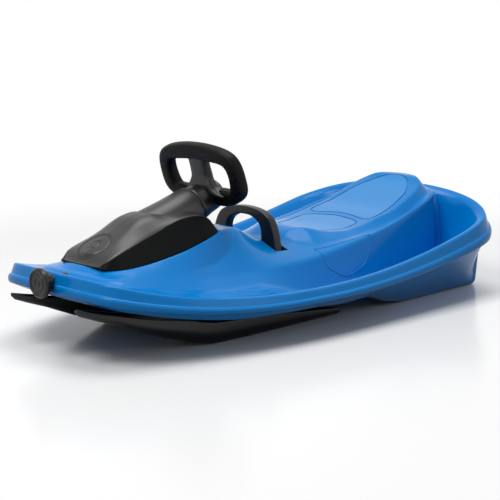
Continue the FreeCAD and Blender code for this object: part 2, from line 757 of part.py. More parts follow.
crank_plate = doc.addObject("Part::Box", "crank_plate")
bind(crank_plate, "Length", "crank_reach")
bind(crank_plate, "Width", "crank_width")
bind(crank_plate, "Height", "crank_thickness")
along_column(crank_plate, "-crank_place - crank_thickness / 2", "-crank_width / 2", "-crank_reach")
crank_eye = column_cylinder("crank_eye", "crank_width / 2 + 4", "-crank_place - crank_thickness / 2",
                            "crank_thickness")
crank_end = column_cylinder("crank_end", "crank_width / 2", "-crank_place - crank_thickness / 2",
                            "crank_thickness", "-crank_reach")
crank_pin = column_cylinder("crank_pin", "crank_pin_radius", "-crank_place - crank_pin_length", "crank_pin_length",
                            "-crank_reach")
crank_hole = column_cylinder("crank_hole", "shaft_radius", "-crank_place - 2 * crank_thickness",
                             "4 * crank_thickness")
node("steering_crank", cut("crank", fuse("crank", crank_plate, crank_eye, crank_end, crank_pin), crank_hole))

# Steering wheel

WHEEL_SHOULDER = 0.88
WHEEL_HIP = 0.93
WHEEL_BULGE_SHARE = 0.42


RIM_SECTION_POINTS = 12


def wheel_line(grow, lift):
    """One half of a line round the wheel's rim, from top to bottom (up, left, along the column)."""
    top = size("wheel_top")
    bottom = size("wheel_bottom")
    side = size("wheel_half_width")
    span = top - bottom
    corners = (
        (top + grow, 0),
        (top - 0.035 * span + grow, 0.5 * side),
        (top - 0.15 * span + 0.7 * grow, WHEEL_SHOULDER * side + 0.7 * grow),
        (bottom + WHEEL_BULGE_SHARE * span, side + grow),
        (bottom + 0.12 * span - 0.5 * grow, WHEEL_HIP * side + 0.85 * grow),
        (bottom - grow, 0.7 * side),
        (bottom - grow, 0),
    )
    return [Vector(up, left, lift) for up, left in corners]


def wheel_edge(points, sign):
    """Smooth half line, square to the centre plane at both ends."""
    curve = Part.BSplineCurve()
    curve.interpolate(
        Points=[Vector(p.x, sign * p.y, p.z) for p in points],
        Parameters=[0.0, 1.0, 1.8, 2.8, 3.5, 4.1, 5.3],
        InitialTangent=Vector(0, sign * size("wheel_half_width") / 2, 0),
        FinalTangent=Vector(0, -sign * size("wheel_half_width") / 2, 0),
    )
    return curve.toShape()


def wheel_rim():
    """Oval tube of the wheel's rim."""
    lines = []
    for k in range(RIM_SECTION_POINTS):
        turn = 2 * math.pi * k / RIM_SECTION_POINTS
        points = wheel_line(size("rim_tube_width") / 2 * math.cos(turn), size("rim_tube_depth") / 2 * math.sin(turn))
        lines.append([wheel_edge(points, sign) for sign in (1, -1)])
    faces = []
    for k, line in enumerate(lines):
        faces += [Part.makeRuledSurface(a, b, SAME_WAY) for a, b in zip(line, lines[k - 1])]
    shell = Part.Shell(faces)
    shell.sewShape()
    solid = Part.Solid(shell)
    if solid.Volume < 0:
        solid.reverse()
    return solid


wheel_ring = form("wheel_ring", wheel_rim())
spoke = doc.addObject("Part::Box", "wheel_spoke")
bind(spoke, "Length", "wheel_top")
bind(spoke, "Width", "spoke_width")
bind(spoke, "Height", "spoke_depth")
place(spoke, "0", "-spoke_width / 2", "-spoke_depth / 2")
boss = cylinder("wheel_boss", "hub_radius", "neck_start - 3 + rim_tube_depth / 2", "0", "0", "3 - neck_start")
web = doc.addObject("Part::Box", "wheel_web")
bind(web, "Length", "hub_radius")
bind(web, "Width", "2 * wheel_half_width * 0.8")
bind(web, "Height", "spoke_depth")
place(web, "-hub_radius / 2", "-wheel_half_width * 0.8", "-spoke_depth / 2")
shaft_hole = cylinder("wheel_hole", "shaft_radius", "4 * neck_start", "0", "0", "-2 * neck_start")
wheel_body = cut("wheel", fuse("wheel", wheel_ring, spoke, boss, web), shaft_hole)
along_column(wheel_body, "0")
node("steering_wheel", wheel_body)
node("wheel_hub_cap", column_cylinder("hub_cap", "cap_radius", "rim_tube_depth / 2", "cap_depth"))

# Ski pivots and steering linkage

BUSH_TOP = "pivot_boss_bottom + pivot_boss_height"
ARM_BOTTOM = f"{BUSH_TOP} + bush_flange_height + slide_gap"
ARM_TOP = f"{ARM_BOTTOM} + steer_arm_thickness"
TIE_BOTTOM = f"{ARM_TOP} + slide_gap"
SADDLE_TOP = "pivot_boss_bottom - 2 * slide_gap"
SADDLE_BOTTOM = "ski_flat_height + ski_floor + saddle_gap"
TIE_PLACE = "king_pin_place + steer_arm_reach"
BUSH_RADIUS = "king_pin_radius + running_gap + pivot_bush_wall"

for side, sign in PIVOTS:
    pivot_y = f"{sign} * king_pin_side"
    bush_tube = cylinder(f"bush_tube_{side}", BUSH_RADIUS, "pivot_boss_height + slide_gap", "king_pin_place", pivot_y,
                         "pivot_boss_bottom - slide_gap")
    bush_flange = cylinder(f"bush_flange_{side}", "bush_flange_radius", "bush_flange_height", "king_pin_place", pivot_y,
                           BUSH_TOP)
    bush_hole = cylinder(f"bush_hole_{side}", "king_pin_radius + running_gap", 200, "king_pin_place", pivot_y, "0")
    node(f"ski_pivot_bush_{side}", cut(f"bush_{side}", fuse(f"bush_{side}", bush_tube, bush_flange), bush_hole))

    pin_bottom = f"{SADDLE_BOTTOM} + saddle_flange"
    node(f"king_pin_{side}", cylinder(f"pin_{side}", "king_pin_radius",
                                      f"{ARM_TOP} + nut_height + 2 - ({pin_bottom})", "king_pin_place", pivot_y,
                                      pin_bottom))

    foot = box(f"saddle_foot_{side}", "saddle_length + 2 * saddle_foot", "saddle_width", "saddle_flange",
               "king_pin_place - saddle_length / 2", pivot_y, SADDLE_BOTTOM)
    block = box(f"saddle_block_{side}", "saddle_length", "saddle_width", f"{SADDLE_TOP} - ({SADDLE_BOTTOM})",
                "king_pin_place - saddle_length / 4", pivot_y, SADDLE_BOTTOM)
    pin_hole = cylinder(f"saddle_hole_{side}", "king_pin_radius", 200, "king_pin_place", pivot_y, pin_bottom)
    screw_holes = []
    screws = []
    for end_name, end_sign in (("front", 1), ("rear", -1)):
        for edge_name, edge_sign in (("outer", 1), ("inner", -1)):
            tag = f"{end_name}_{edge_name}_{side}"
            screw_x = f"king_pin_place - saddle_length / 2 + {end_sign} * (saddle_length / 2 + saddle_foot / 2)"
            screw_y = f"{pivot_y} + {edge_sign} * saddle_width / 3"
            shank_bottom = "ski_flat_height + ski_floor / 2"
            screw_holes.append(cylinder(f"screw_hole_{tag}", "screw_radius", 60, screw_x, screw_y, shank_bottom))
            screw_shank = cylinder(f"screw_shank_{tag}", "screw_radius", "ski_floor / 2 + saddle_gap + saddle_flange + 0.5",
                                   screw_x, screw_y, shank_bottom)
            screw_head = cylinder(f"screw_head_{tag}", "screw_head_radius", "screw_head_height", screw_x, screw_y,
                                  f"{SADDLE_BOTTOM} + saddle_flange")
            screws.append(fuse(f"screw_{tag}", screw_shank, screw_head))
    saddle = cut(f"saddle_{side}", fuse(f"saddle_{side}", foot, block), pin_hole, *screw_holes)
    node(f"ski_pivot_block_{side}", saddle)
    screw_group = doc.addObject("Part::Compound", f"screw_group_{side}")
    screw_group.Links = screws
    node(f"ski_screws_{side}", screw_group)

    arm_bar = box(f"arm_bar_{side}", "steer_arm_reach", "steer_arm_width", "steer_arm_thickness",
                  "king_pin_place + steer_arm_reach / 2", pivot_y, ARM_BOTTOM)
    arm_eye = cylinder(f"arm_eye_{side}", "steer_arm_width / 2 + 4", "steer_arm_thickness", "king_pin_place", pivot_y,
                       ARM_BOTTOM)
    arm_end = cylinder(f"arm_end_{side}", "steer_arm_width / 2", "steer_arm_thickness", TIE_PLACE, pivot_y, ARM_BOTTOM)
    arm_pin = cylinder(f"arm_pin_{side}", "arm_pin_radius", "arm_pin_height", TIE_PLACE, pivot_y, ARM_TOP)
    arm_hole = cylinder(f"arm_hole_{side}", "king_pin_radius", 300, "king_pin_place", pivot_y, "0")
    node(f"steering_arm_{side}", cut(f"arm_{side}", fuse(f"arm_{side}", arm_bar, arm_eye, arm_end, arm_pin), arm_hole))

    nut_body = doc.addObject("Part::Prism", f"nut_body_{side}")
    nut_body.Polygon = 6
    bind(nut_body, "Circumradius", "nut_radius")
    bind(nut_body, "Height", "nut_height")
    place(nut_body, "king_pin_place", pivot_y, ARM_TOP)
    nut_hole = cylinder(f"nut_hole_{side}", "king_pin_radius", 300, "king_pin_place", pivot_y, "0")
    node(f"king_pin_nut_{side}", cut(f"nut_{side}", nut_body, nut_hole))

tie_bar = box("tie_bar_plate", "tie_bar_width", "2 * king_pin_side + 2 * tie_bar_overhang", "tie_bar_height",
              TIE_PLACE, "0", TIE_BOTTOM)
prongs = [
    box(f"fork_prong_{side}", "fork_length", "fork_prong", "tie_bar_height + fork_height", f"{TIE_PLACE} + fork_lead",
        f"{sign} * (crank_pin_radius + crank_gap + fork_prong / 2)", TIE_BOTTOM)
    for side, sign in PIVOTS
]
tie_slots = [
    box(f"tie_slot_{side}", "2 * tie_slot_half_length", "2 * arm_pin_radius + 2 * tie_slot_gap", "4 * tie_bar_height",
        TIE_PLACE, f"{sign} * king_pin_side", f"{TIE_BOTTOM} - tie_bar_height")
    for side, sign in PIVOTS
]
node("tie_bar", cut("tie_bar", fuse("tie_bar", tie_bar, *prongs), *tie_slots))

# Skis: trays with a turned-up tip

SKI_OUTER = ((538, 108), (500, 119), (400, 134), (300, 149), (200, 160), (100, 163), (-93, 163))
SKI_INNER = ((538, 84), (500, 72), (400, 66), (300, 64), (200, 64), (-93, 66))
SKI_TIP_ROUND = 26.0
SKI_ROCKER = ((1.0, 1.0), (0.87, 0.85), (0.747, 0.72), (0.52, 0.44), (0.28, 0.2), (0.1, 0.05), (0.0, 0.0))
SKI_ROCKER_START = 250.0
SKI_WALL_HEIGHTS = ((538, 11), (465, 19), (400, 30), (288, 44), (130, 36), (-93, 15))


def ski_bottom(x):
    """Underside of the ski: flat, then a rocker up to the tip."""
    share = (x - SKI_ROCKER_START) / (size("ski_tip_place") - SKI_ROCKER_START)
    return size("ski_flat_height") + size("ski_tip_rise") * smooth(share, SKI_ROCKER)


def ski_line(inset, lift):
    """Outer and inner side of a line round the ski, with its rounded tip."""
    tip = size("ski_tip_place") - inset
    tail = size("ski_tail_place") + inset
    outer = []
    inner = []
    for x in spread(tip, tail):
        middle = (smooth(x, SKI_OUTER) + smooth(x, SKI_INNER)) / 2
        half = (smooth(x, SKI_OUTER) - smooth(x, SKI_INNER)) / 2 - inset
        share = max(0.0, (x - tail) / (tip - tail))
        half = math.hypot(half * math.sqrt(1 - share**SKI_TIP_ROUND), 1.5)
        z = ski_bottom(x) + lift(x)
        outer.append(Vector(x, middle + half, z))
        inner.append(Vector(x, middle - half, z))
    return outer, inner


def ski_solid():
    """Left ski."""
    wall = size("ski_wall")
    bevel = size("ski_bevel")

    def wall_height(x):
        return smooth(x, SKI_WALL_HEIGHTS)

    return closed_solid([
        ski_line(bevel, lambda x: 0.0),
        ski_line(0, lambda x: 0.45 * wall_height(x)),
        ski_line(0, wall_height),
        ski_line(wall, wall_height),
        ski_line(wall + bevel, lambda x: size("ski_floor")),
    ])


left_ski = ski_solid()
for side, sign in PIVOTS:
    shape = left_ski if sign > 0 else left_ski.mirror(Vector(), Vector(0, 1, 0))
    ski_form = form(f"ski_{side}", shape)
    ski_screw_holes = [
        cylinder(
            f"ski_hole_{end_sign}_{edge_sign}_{side}".replace("-1", "low").replace("1", "high"), "screw_radius", 60,
            f"king_pin_place - saddle_length / 2 + {end_sign} * (saddle_length / 2 + saddle_foot / 2)",
            f"{sign} * king_pin_side + {edge_sign} * saddle_width / 3",
            "ski_flat_height + ski_floor / 2",
        )
        for end_sign in (1, -1)
        for edge_sign in (1, -1)
    ]
    node(f"ski_{side}", cut(f"ski_{side}", ski_form, *ski_screw_holes))

# Brake lever, shaft and claw

LEG_BOTTOM_DROP = 12.0


def handle_solid():
    """Arch with two wide feet that reach down to the brake shaft."""
    top = size("handle_top")
    outer_foot = size("handle_half_width")
    inner_foot = outer_foot - size("handle_leg")
    grip = size("handle_grip")
    bottom = size("brake_axis_height") - LEG_BOTTOM_DROP
    foot_rise = size("brake_axis_height") + 24
    back = size("handle_place") - size("handle_thickness") / 2
    rise = top - foot_rise

    def points(pairs):
        return [Vector(back, y, z) for y, z in pairs]

    outer = points(((outer_foot, foot_rise), (0.87 * outer_foot, foot_rise + 0.6 * rise),
                    (0.71 * outer_foot, foot_rise + 0.83 * rise), (0.42 * outer_foot, foot_rise + 0.955 * rise),
                    (0, top)))
    inner = points(((inner_foot, foot_rise), (0.96 * inner_foot, foot_rise + 0.55 * rise),
                    (0.72 * inner_foot, top - 1.5 * grip), (0.4 * inner_foot, top - 1.1 * grip), (0, top - grip)))

    def arch(side):
        curve = Part.BSplineCurve()
        curve.interpolate(Points=side + [Vector(p.x, -p.y, p.z) for p in side[-2::-1]])
        return curve.toShape()

    def corner(point):
        return Vector(back, point.y, bottom)

    edges = [arch(outer), arch(inner)]
    for sign in (1, -1):
        a = Vector(back, sign * outer_foot, foot_rise)
        b = Vector(back, sign * inner_foot, foot_rise)
        edges += [Part.makeLine(a, corner(a)), Part.makeLine(corner(a), corner(b)), Part.makeLine(corner(b), b)]
    face = Part.Face(Part.Wire(Part.__sortEdges__(edges)))
    return face.extrude(Vector(size("handle_thickness"), 0, 0))


handle_form = form("handle", handle_solid())
handle_hole = cylinder("handle_hole", "brake_shaft_radius", 400, "handle_place", "-200", "brake_axis_height", "y")
node("brake_lever", cut("handle", handle_form, handle_hole))

SHAFT_HALF = "brake_post_side + brake_post_width / 2 + 1"
node("brake_shaft", cylinder("brake_rod", "brake_shaft_radius", f"2 * ({SHAFT_HALF})", "handle_place",
                             f"-({SHAFT_HALF})", "brake_axis_height", "y"))
for side, sign in PIVOTS:
    bush_y = f"{sign} * brake_post_side - brake_post_width / 2"
    bush_body = cylinder(f"brake_bush_body_{side}", BRAKE_BUSH_RADIUS, "brake_post_width", "handle_place", bush_y,
                         "brake_axis_height", "y")
    bush_bore = cylinder(f"brake_bush_bore_{side}", "brake_shaft_radius + running_gap", 400, "handle_place", "-200",
                         "brake_axis_height", "y")
    node(f"brake_bush_{side}", cut(f"brake_bush_{side}", bush_body, bush_bore))


def brake_arm_solid():
    """Flat arm from the shaft's eye back and down to the claw."""
    reach = size("brake_arm_reach")
    drop = size("brake_arm_drop")
    half = size("brake_arm_depth") / 2
    width = size("brake_arm_width")
    start = Vector(size("handle_place"), -width / 2, size("brake_axis_height"))
    end = start + Vector(-reach, 0, -drop)
    run = (end - start).normalize()
    up = Vector(-run.z, 0, run.x) * half
    outline = [start + up, end + up, end - up, start - up, start + up]
    return Part.Face(Part.makePolygon(outline)).extrude(Vector(0, width, 0))


arm_form = form("brake_arm", brake_arm_solid())
arm_eye = cylinder("brake_arm_eye", "brake_eye_radius", "brake_arm_width", "handle_place", "-brake_arm_width / 2",
                   "brake_axis_height", "y")
arm_bore = cylinder("brake_arm_bore", "brake_shaft_radius", 200, "handle_place", "-100", "brake_axis_height", "y")
claw_seat = box("claw_seat", "claw_thickness", "claw_width", "claw_depth", f"{CLAW_PLACE}", "0",
                "brake_axis_height - brake_arm_drop - claw_depth / 2")
node("brake_arm", cut("brake_arm", fuse("brake_arm", arm_form, arm_eye), arm_bore, claw_seat))

claw_plate = box("claw_plate", "claw_thickness", "claw_width", "claw_depth", f"{CLAW_PLACE}", "0",
                 "brake_axis_height - brake_arm_drop - claw_depth / 2")
CLAW_GAP_COUNT = 3
claw_gaps = [
    box(f"claw_gap_{k}", "2 * claw_thickness", f"claw_width / {2 * CLAW_GAP_COUNT + 1}", "claw_depth / 3", f"{CLAW_PLACE}",
        f"claw_width * ({2 * k - CLAW_GAP_COUNT + 1}) / {2 * CLAW_GAP_COUNT + 1}",
        "brake_axis_height - brake_arm_drop - claw_depth / 2")
    for k in range(CLAW_GAP_COUNT)
]
node("brake_claw", cut("claw", claw_plate, *claw_gaps))

spring_y = "handle_half_width - handle_leg - spring_length - 2"
spring_outside = cylinder("spring_outside", "brake_shaft_radius + spring_gap + spring_wall", "spring_length",
                          "handle_place", spring_y, "brake_axis_height", "y")
spring_inside = cylinder("spring_inside", "brake_shaft_radius + spring_gap", "3 * spring_length", "handle_place",
                         f"{spring_y} - spring_length", "brake_axis_height", "y")
node("brake_spring", cut("spring", spring_outside, spring_inside))

# Tow knob and reel

KNOB_BACK = "nose_lip_place + knob_stand_off"
knob_disc = cylinder("knob_disc", "knob_radius", "knob_thickness", KNOB_BACK, "0", "knob_height", "x")
KNOB_FACE = f"{KNOB_BACK} + knob_thickness"
knob_ring_out = cylinder("knob_ring_out", "knob_radius * 0.82", "knob_thickness / 3", f"{KNOB_FACE} - knob_thickness / 6",
                         "0", "knob_height", "x")
knob_ring_in = cylinder("knob_ring_in", "knob_radius * 0.5", "knob_thickness", f"{KNOB_FACE} - knob_thickness / 2", "0",
                        "knob_height", "x")
knob_groove = cut("knob_groove", knob_ring_out, knob_ring_in)
node("tow_knob", cut("knob", knob_disc, knob_groove))
node("tow_shank", cylinder("shank", "shank_radius", "shank_length", f"{KNOB_BACK} - shank_length", "0", "knob_height", "x"))
GUIDE_PLACE = f"{KNOB_BACK} - slide_gap - guide_length"
guide_tube = cylinder("guide_tube", "shank_radius + guide_wall", "guide_length", GUIDE_PLACE, "0", "knob_height", "x")
guide_bore = cylinder("guide_bore", "shank_radius + running_gap", "3 * guide_length", f"{GUIDE_PLACE} - guide_length",
                      "0", "knob_height", "x")
guide_collar = cylinder("guide_collar", "collar_radius", "collar_length",
                        f"{KNOB_BACK} - slide_gap - collar_length", "0", "knob_height", "x")
node("tow_guide", cut("guide", fuse("guide", guide_tube, guide_collar), guide_bore))

REEL_PLACE = f"{GUIDE_PLACE} - reel_radius"
REEL_HEIGHT = "rim_waist_height + reel_rise"
case_outside = cylinder("case_outside", "reel_radius", "reel_width", REEL_PLACE, "-reel_width / 2", REEL_HEIGHT, "y")
case_inside = cylinder("case_inside", "reel_radius - reel_wall", "reel_width - 2 * reel_wall", REEL_PLACE,
                       "reel_wall - reel_width / 2", REEL_HEIGHT, "y")
case_bore = cylinder("case_bore", "reel_axle_radius", 200, REEL_PLACE, "-100", REEL_HEIGHT, "y")
case_mouth = cylinder("case_mouth", "shank_radius", "2 * reel_radius", REEL_PLACE, "0", "knob_height", "x")
node("reel_case", cut("case", case_outside, case_inside, case_bore, case_mouth))
drum_core = cylinder("drum_core", "reel_radius * 0.5", "reel_width - 2 * reel_wall - 2 * drum_gap", REEL_PLACE,
                     "reel_wall + drum_gap - reel_width / 2", REEL_HEIGHT, "y")
drum_sides = [
    cylinder(f"drum_side_{side}", "reel_radius - reel_wall - drum_gap", 2, REEL_PLACE, start, REEL_HEIGHT, "y")
    for side, start in (("left", "reel_width / 2 - reel_wall - drum_gap - 2"),
                        ("right", "reel_wall + drum_gap - reel_width / 2"))
]
drum_bore = cylinder("drum_bore", "reel_axle_radius + running_gap", 200, REEL_PLACE, "-100", REEL_HEIGHT, "y")
node("reel_drum", cut("drum", fuse("drum", drum_core, *drum_sides), drum_bore))
node("reel_axle", cylinder("axle", "reel_axle_radius", "reel_width + 4", REEL_PLACE, "-reel_width / 2 - 2", REEL_HEIGHT,
                           "y"))

# Build, test and write every sub-part

doc.recompute()
failed = [obj.Name for obj in doc.Objects if "Invalid" in obj.State or "Error" in obj.State]
if failed:
    raise RuntimeError(f"objects that failed: {failed}")
os.makedirs("parts", exist_ok=True)
for name, obj in NODES.items():
    shape = obj.Shape
    if shape.isNull() or not shape.isValid() or not shape.Solids:
        raise RuntimeError(f"{name} is not a valid solid")
    print(f"{name}: {len(shape.Solids)} solid, {shape.Volume / 1000:.1f} cm3")
    shape.exportStep(os.path.join("parts", f"{name}.step"))
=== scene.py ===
"""Studio scene of the two-rider steering sled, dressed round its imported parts.

Forms are worked out in millimetres in the sled's frame: +X to the nose, +Y to the driver's left,
+Z up, origin on the ground under the middle of the sled. Meshes are written in metres.
"""

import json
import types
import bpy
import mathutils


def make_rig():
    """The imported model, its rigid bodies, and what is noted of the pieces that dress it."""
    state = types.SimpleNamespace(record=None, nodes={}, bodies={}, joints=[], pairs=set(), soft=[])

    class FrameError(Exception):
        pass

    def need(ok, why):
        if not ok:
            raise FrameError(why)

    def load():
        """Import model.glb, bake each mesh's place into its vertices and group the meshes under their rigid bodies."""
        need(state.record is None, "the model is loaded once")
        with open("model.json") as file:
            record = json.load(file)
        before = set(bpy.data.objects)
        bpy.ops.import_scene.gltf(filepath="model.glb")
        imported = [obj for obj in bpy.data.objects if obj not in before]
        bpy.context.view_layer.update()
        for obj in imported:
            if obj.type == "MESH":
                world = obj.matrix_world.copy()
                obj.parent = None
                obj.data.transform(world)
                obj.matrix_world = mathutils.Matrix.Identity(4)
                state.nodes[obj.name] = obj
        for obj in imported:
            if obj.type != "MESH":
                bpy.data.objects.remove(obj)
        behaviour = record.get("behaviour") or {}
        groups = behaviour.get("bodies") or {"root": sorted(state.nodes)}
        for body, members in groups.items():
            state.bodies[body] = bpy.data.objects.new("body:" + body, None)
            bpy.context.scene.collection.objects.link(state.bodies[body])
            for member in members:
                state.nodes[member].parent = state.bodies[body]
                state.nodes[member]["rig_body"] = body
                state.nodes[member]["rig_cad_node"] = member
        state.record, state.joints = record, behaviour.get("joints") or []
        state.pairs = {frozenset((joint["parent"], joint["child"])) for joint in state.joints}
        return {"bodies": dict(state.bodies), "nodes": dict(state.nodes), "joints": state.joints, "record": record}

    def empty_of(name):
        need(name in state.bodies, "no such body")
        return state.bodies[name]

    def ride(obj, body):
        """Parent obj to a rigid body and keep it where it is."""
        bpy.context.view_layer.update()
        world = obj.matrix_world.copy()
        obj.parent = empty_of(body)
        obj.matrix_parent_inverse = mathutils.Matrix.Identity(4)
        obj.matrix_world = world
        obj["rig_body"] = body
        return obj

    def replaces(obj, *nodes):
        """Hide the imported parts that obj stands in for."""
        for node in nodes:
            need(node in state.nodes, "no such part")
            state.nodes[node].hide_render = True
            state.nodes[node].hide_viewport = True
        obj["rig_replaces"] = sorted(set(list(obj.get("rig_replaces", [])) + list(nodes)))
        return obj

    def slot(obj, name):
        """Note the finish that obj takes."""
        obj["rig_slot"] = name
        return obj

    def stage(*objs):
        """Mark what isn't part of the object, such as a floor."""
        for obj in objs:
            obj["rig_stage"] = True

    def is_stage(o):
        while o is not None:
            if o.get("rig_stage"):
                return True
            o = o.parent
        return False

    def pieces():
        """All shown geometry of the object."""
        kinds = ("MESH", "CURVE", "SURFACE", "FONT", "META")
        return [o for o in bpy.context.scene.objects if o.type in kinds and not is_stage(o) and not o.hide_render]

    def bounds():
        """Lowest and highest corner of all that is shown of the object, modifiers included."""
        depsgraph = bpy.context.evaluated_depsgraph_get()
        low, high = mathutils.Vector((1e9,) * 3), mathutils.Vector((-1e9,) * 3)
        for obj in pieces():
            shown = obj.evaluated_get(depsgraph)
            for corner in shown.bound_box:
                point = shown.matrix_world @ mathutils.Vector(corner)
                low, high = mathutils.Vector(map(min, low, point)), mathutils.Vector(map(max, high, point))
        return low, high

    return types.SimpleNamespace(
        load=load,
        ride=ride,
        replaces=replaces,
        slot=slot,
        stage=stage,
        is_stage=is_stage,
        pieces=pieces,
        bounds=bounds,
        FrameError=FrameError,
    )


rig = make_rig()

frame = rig.load()

import json
import logging
import math
from dataclasses import dataclass
from enum import Enum
from pathlib import Path
from typing import Any, Callable, Sequence

import bmesh
import bpy
import numpy as np
from mathutils import Matrix, Vector

LOG = logging.getLogger("sled")
MM = 0.001
SIZE_FILE = Path("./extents.json")
BODY_BLUNTNESS = 30
SHARP_EDGE = math.radians(40)
Stations = Sequence[tuple[float, float]]


class Body(Enum):
    """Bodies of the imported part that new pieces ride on."""

    HULL = "hull"
    STEERING = "steering"
    BRAKE = "brake"
    TOW = "tow"
    RUNNER_LEFT = "runner_left"
    RUNNER_RIGHT = "runner_right"


class Slot(Enum):
    """Material slots of the record."""

    BLUE_SHELL = "blue_shell"
    CONSOLE = "console_plastic"
    BLACK = "black_plastic"
    GRIP = "grip_plastic"
    STEEL = "steel"
    BEARING = "bearing_plastic"


# Lines and grids


def hermite(u: np.ndarray, width: np.ndarray, ends: Sequence, slopes: Sequence) -> np.ndarray:
    """Cubic between two values with a given slope at each.

    Args:
        u: share of the way, 0 to 1.
        width: parameter distance between the values.
        ends: value at 0 and value at 1.
        slopes: slope at 0 and slope at 1.

    Returns:
        Values at u.
    """
    return (
        (2 * u**3 - 3 * u**2 + 1) * ends[0]
        + (u**3 - 2 * u**2 + u) * width * slopes[0]
        + (3 * u**2 - 2 * u**3) * ends[1]
        + (u**3 - u**2) * width * slopes[1]
    )


def through(x: np.ndarray, stations: Stations) -> np.ndarray:
    """Monotone cubic through stations, held beyond their ends.

    Args:
        x: places to read.
        stations: pairs of place and value.

    Returns:
        Values at x. Slopes at the stations are the harmonic mean of the rates on both sides.
    """
    places, values = np.array(sorted(stations), float).T
    steps = np.diff(places)
    rates = np.diff(values) / steps
    before, after = rates[:-1], rates[1:]
    same = before * after > 0
    mean = 2 * before * after / np.where(same, before + after, 1)
    slopes = np.concatenate([rates[:1], np.where(same, mean, 0), rates[-1:]])
    x = np.clip(x, places[0], places[-1])
    i = np.clip(np.searchsorted(places, x, side="right") - 1, 0, len(steps) - 1)
    u = (x - places[i]) / steps[i]
    return hermite(u, steps[i], (values[i], values[i + 1]), (slopes[i], slopes[i + 1]))


def ease(start: float, end: float, value: np.ndarray) -> np.ndarray:
    """Smooth step from 0 at start to 1 at end."""
    u = np.clip((value - start) / (end - start), 0, 1)
    return u * u * (3 - 2 * u)


def spread(nose: float, tail: float, count: int) -> np.ndarray:
    """Places from nose to tail, closer together at both ends (cosine steps)."""
    turns = np.linspace(0, math.pi, count)
    return (nose + tail) / 2 + (nose - tail) / 2 * np.cos(turns)


def spline(knots: np.ndarray, params: Sequence[float], ends: Sequence[np.ndarray], count: int) -> np.ndarray:
    """Cubic spline with continuous curvature and given slopes at both ends.

    Args:
        knots: points, one a row; further axes are carried along.
        params: parameter of each knot.
        ends: slope at the first and at the last knot.
        count: number of even parameter steps to read.

    Returns:
        Points at even parameters, count rows.
    """
    t = np.asarray(params, float)
    h = np.diff(t)
    flat = knots.reshape(len(t), -1)
    rates = np.diff(flat, axis=0) / h[:, None]
    system = np.eye(len(t))
    right = np.zeros_like(flat)
    right[0], right[-1] = np.ravel(ends[0]), np.ravel(ends[1])
    inner = np.arange(1, len(t) - 1)
    system[inner, inner - 1] = 1 / h[:-1]
    system[inner, inner] = 2 / h[:-1] + 2 / h[1:]
    system[inner, inner + 1] = 1 / h[1:]
    right[1:-1] = 3 * (rates[:-1] / h[:-1, None] + rates[1:] / h[1:, None])
    slopes = np.linalg.solve(system, right)
    at = np.linspace(t[0], t[-1], count)
    i = np.clip(np.searchsorted(t, at, side="right") - 1, 0, len(h) - 1)
    u = ((at - t[i]) / h[i])[:, None]
    points = hermite(u, h[i][:, None], (flat[i], flat[i + 1]), (slopes[i], slopes[i + 1]))
    return points.reshape(count, *knots.shape[1:])


def rounded(
    lines: np.ndarray, radii: Sequence[float], spans: Sequence[int], bend: int, closed: bool = False
) -> np.ndarray:
    """Columns across a set of lines, with each corner eased by a quadratic curve.

    A corner starts and ends the given distance from its line, at most 0.45 of the span beside it.

    Args:
        lines: corner lines, shaped (lines, places, 3).
        radii: easing distance at each line; the first and last are not used on an open set.
        spans: columns on each straight span.
        bend: columns on each corner.
        closed: the last line runs on to the first.

    Returns:
        Points shaped (places, columns, 3).
    """
    count = len(lines)
    before = np.roll(lines, 1, axis=0)
    after = np.roll(lines, -1, axis=0)
    to_before = np.linalg.norm(before - lines, axis=2)
    to_after = np.linalg.norm(after - lines, axis=2)
    reach = np.minimum(np.asarray(radii, float)[:, None], 0.45 * np.minimum(to_before, to_after))
    if not closed:
        reach[0] = reach[-1] = 0
    start = lines + (before - lines) * (reach / np.maximum(to_before, 1e-9))[..., None]
    end = lines + (after - lines) * (reach / np.maximum(to_after, 1e-9))[..., None]
    columns = []
    for k in range(count):
        inner = closed or 0 < k < count - 1
        if inner:
            u = np.linspace(0, 1, bend)[:, None, None]
            columns.append((1 - u) ** 2 * start[k] + 2 * u * (1 - u) * lines[k] + u**2 * end[k])
        else:
            columns.append(lines[k][None])
        if closed or k < count - 1:
            v = np.linspace(0, 1, spans[k] + 2)[1:-1, None, None]
            columns.append(end[k] + (start[(k + 1) % count] - end[k]) * v)
    return np.concatenate(columns).transpose(1, 0, 2)


def flattened(wave: np.ndarray, power: float) -> np.ndarray:
    """A sine or cosine drawn towards a square wave, for sections with flat sides."""
    return np.sign(wave) * np.abs(wave) ** power


def blunt_width(x: np.ndarray, nose: float, tail: float, widths: Stations) -> np.ndarray:
    """Half width of a body in plan: station widths, closed by a blunt round at both ends.

    Args:
        x: places to read.
        nose: front end.
        tail: rear end.
        widths: stations of half width.

    Returns:
        Half widths at x.
    """
    share = np.clip(np.abs(x - (nose + tail) / 2) / ((nose - tail) / 2), 0, 1)
    return through(x, widths) * np.sqrt(1 - share**BODY_BLUNTNESS)


def way_along(knots: np.ndarray) -> np.ndarray:
    """Distance along a run of points, from 0 at the first."""
    return np.concatenate([[0], np.cumsum(np.linalg.norm(np.diff(knots, axis=0), axis=1))])


def capped(points: np.ndarray, first: bool = True) -> np.ndarray:
    """Close a tube of rows by drawing its ends to their middles.

    Args:
        points: rows round the tube, shaped (rows, columns, 3).
        first: close the first row as well as the last.

    Returns:
        The rows with a pole row at each closed end.
    """
    poles = points.mean(axis=1, keepdims=True) + 0 * points
    start = poles[:1] if first else poles[:0]
    return np.concatenate([start, points, poles[-1:]])


def both_halves(half: np.ndarray) -> np.ndarray:
    """A left half whose first column lies on the centre plane, with its mirror image before it."""
    right = half[:, :0:-1] * np.array([1, -1, 1])
    return np.concatenate([right, half], axis=1)


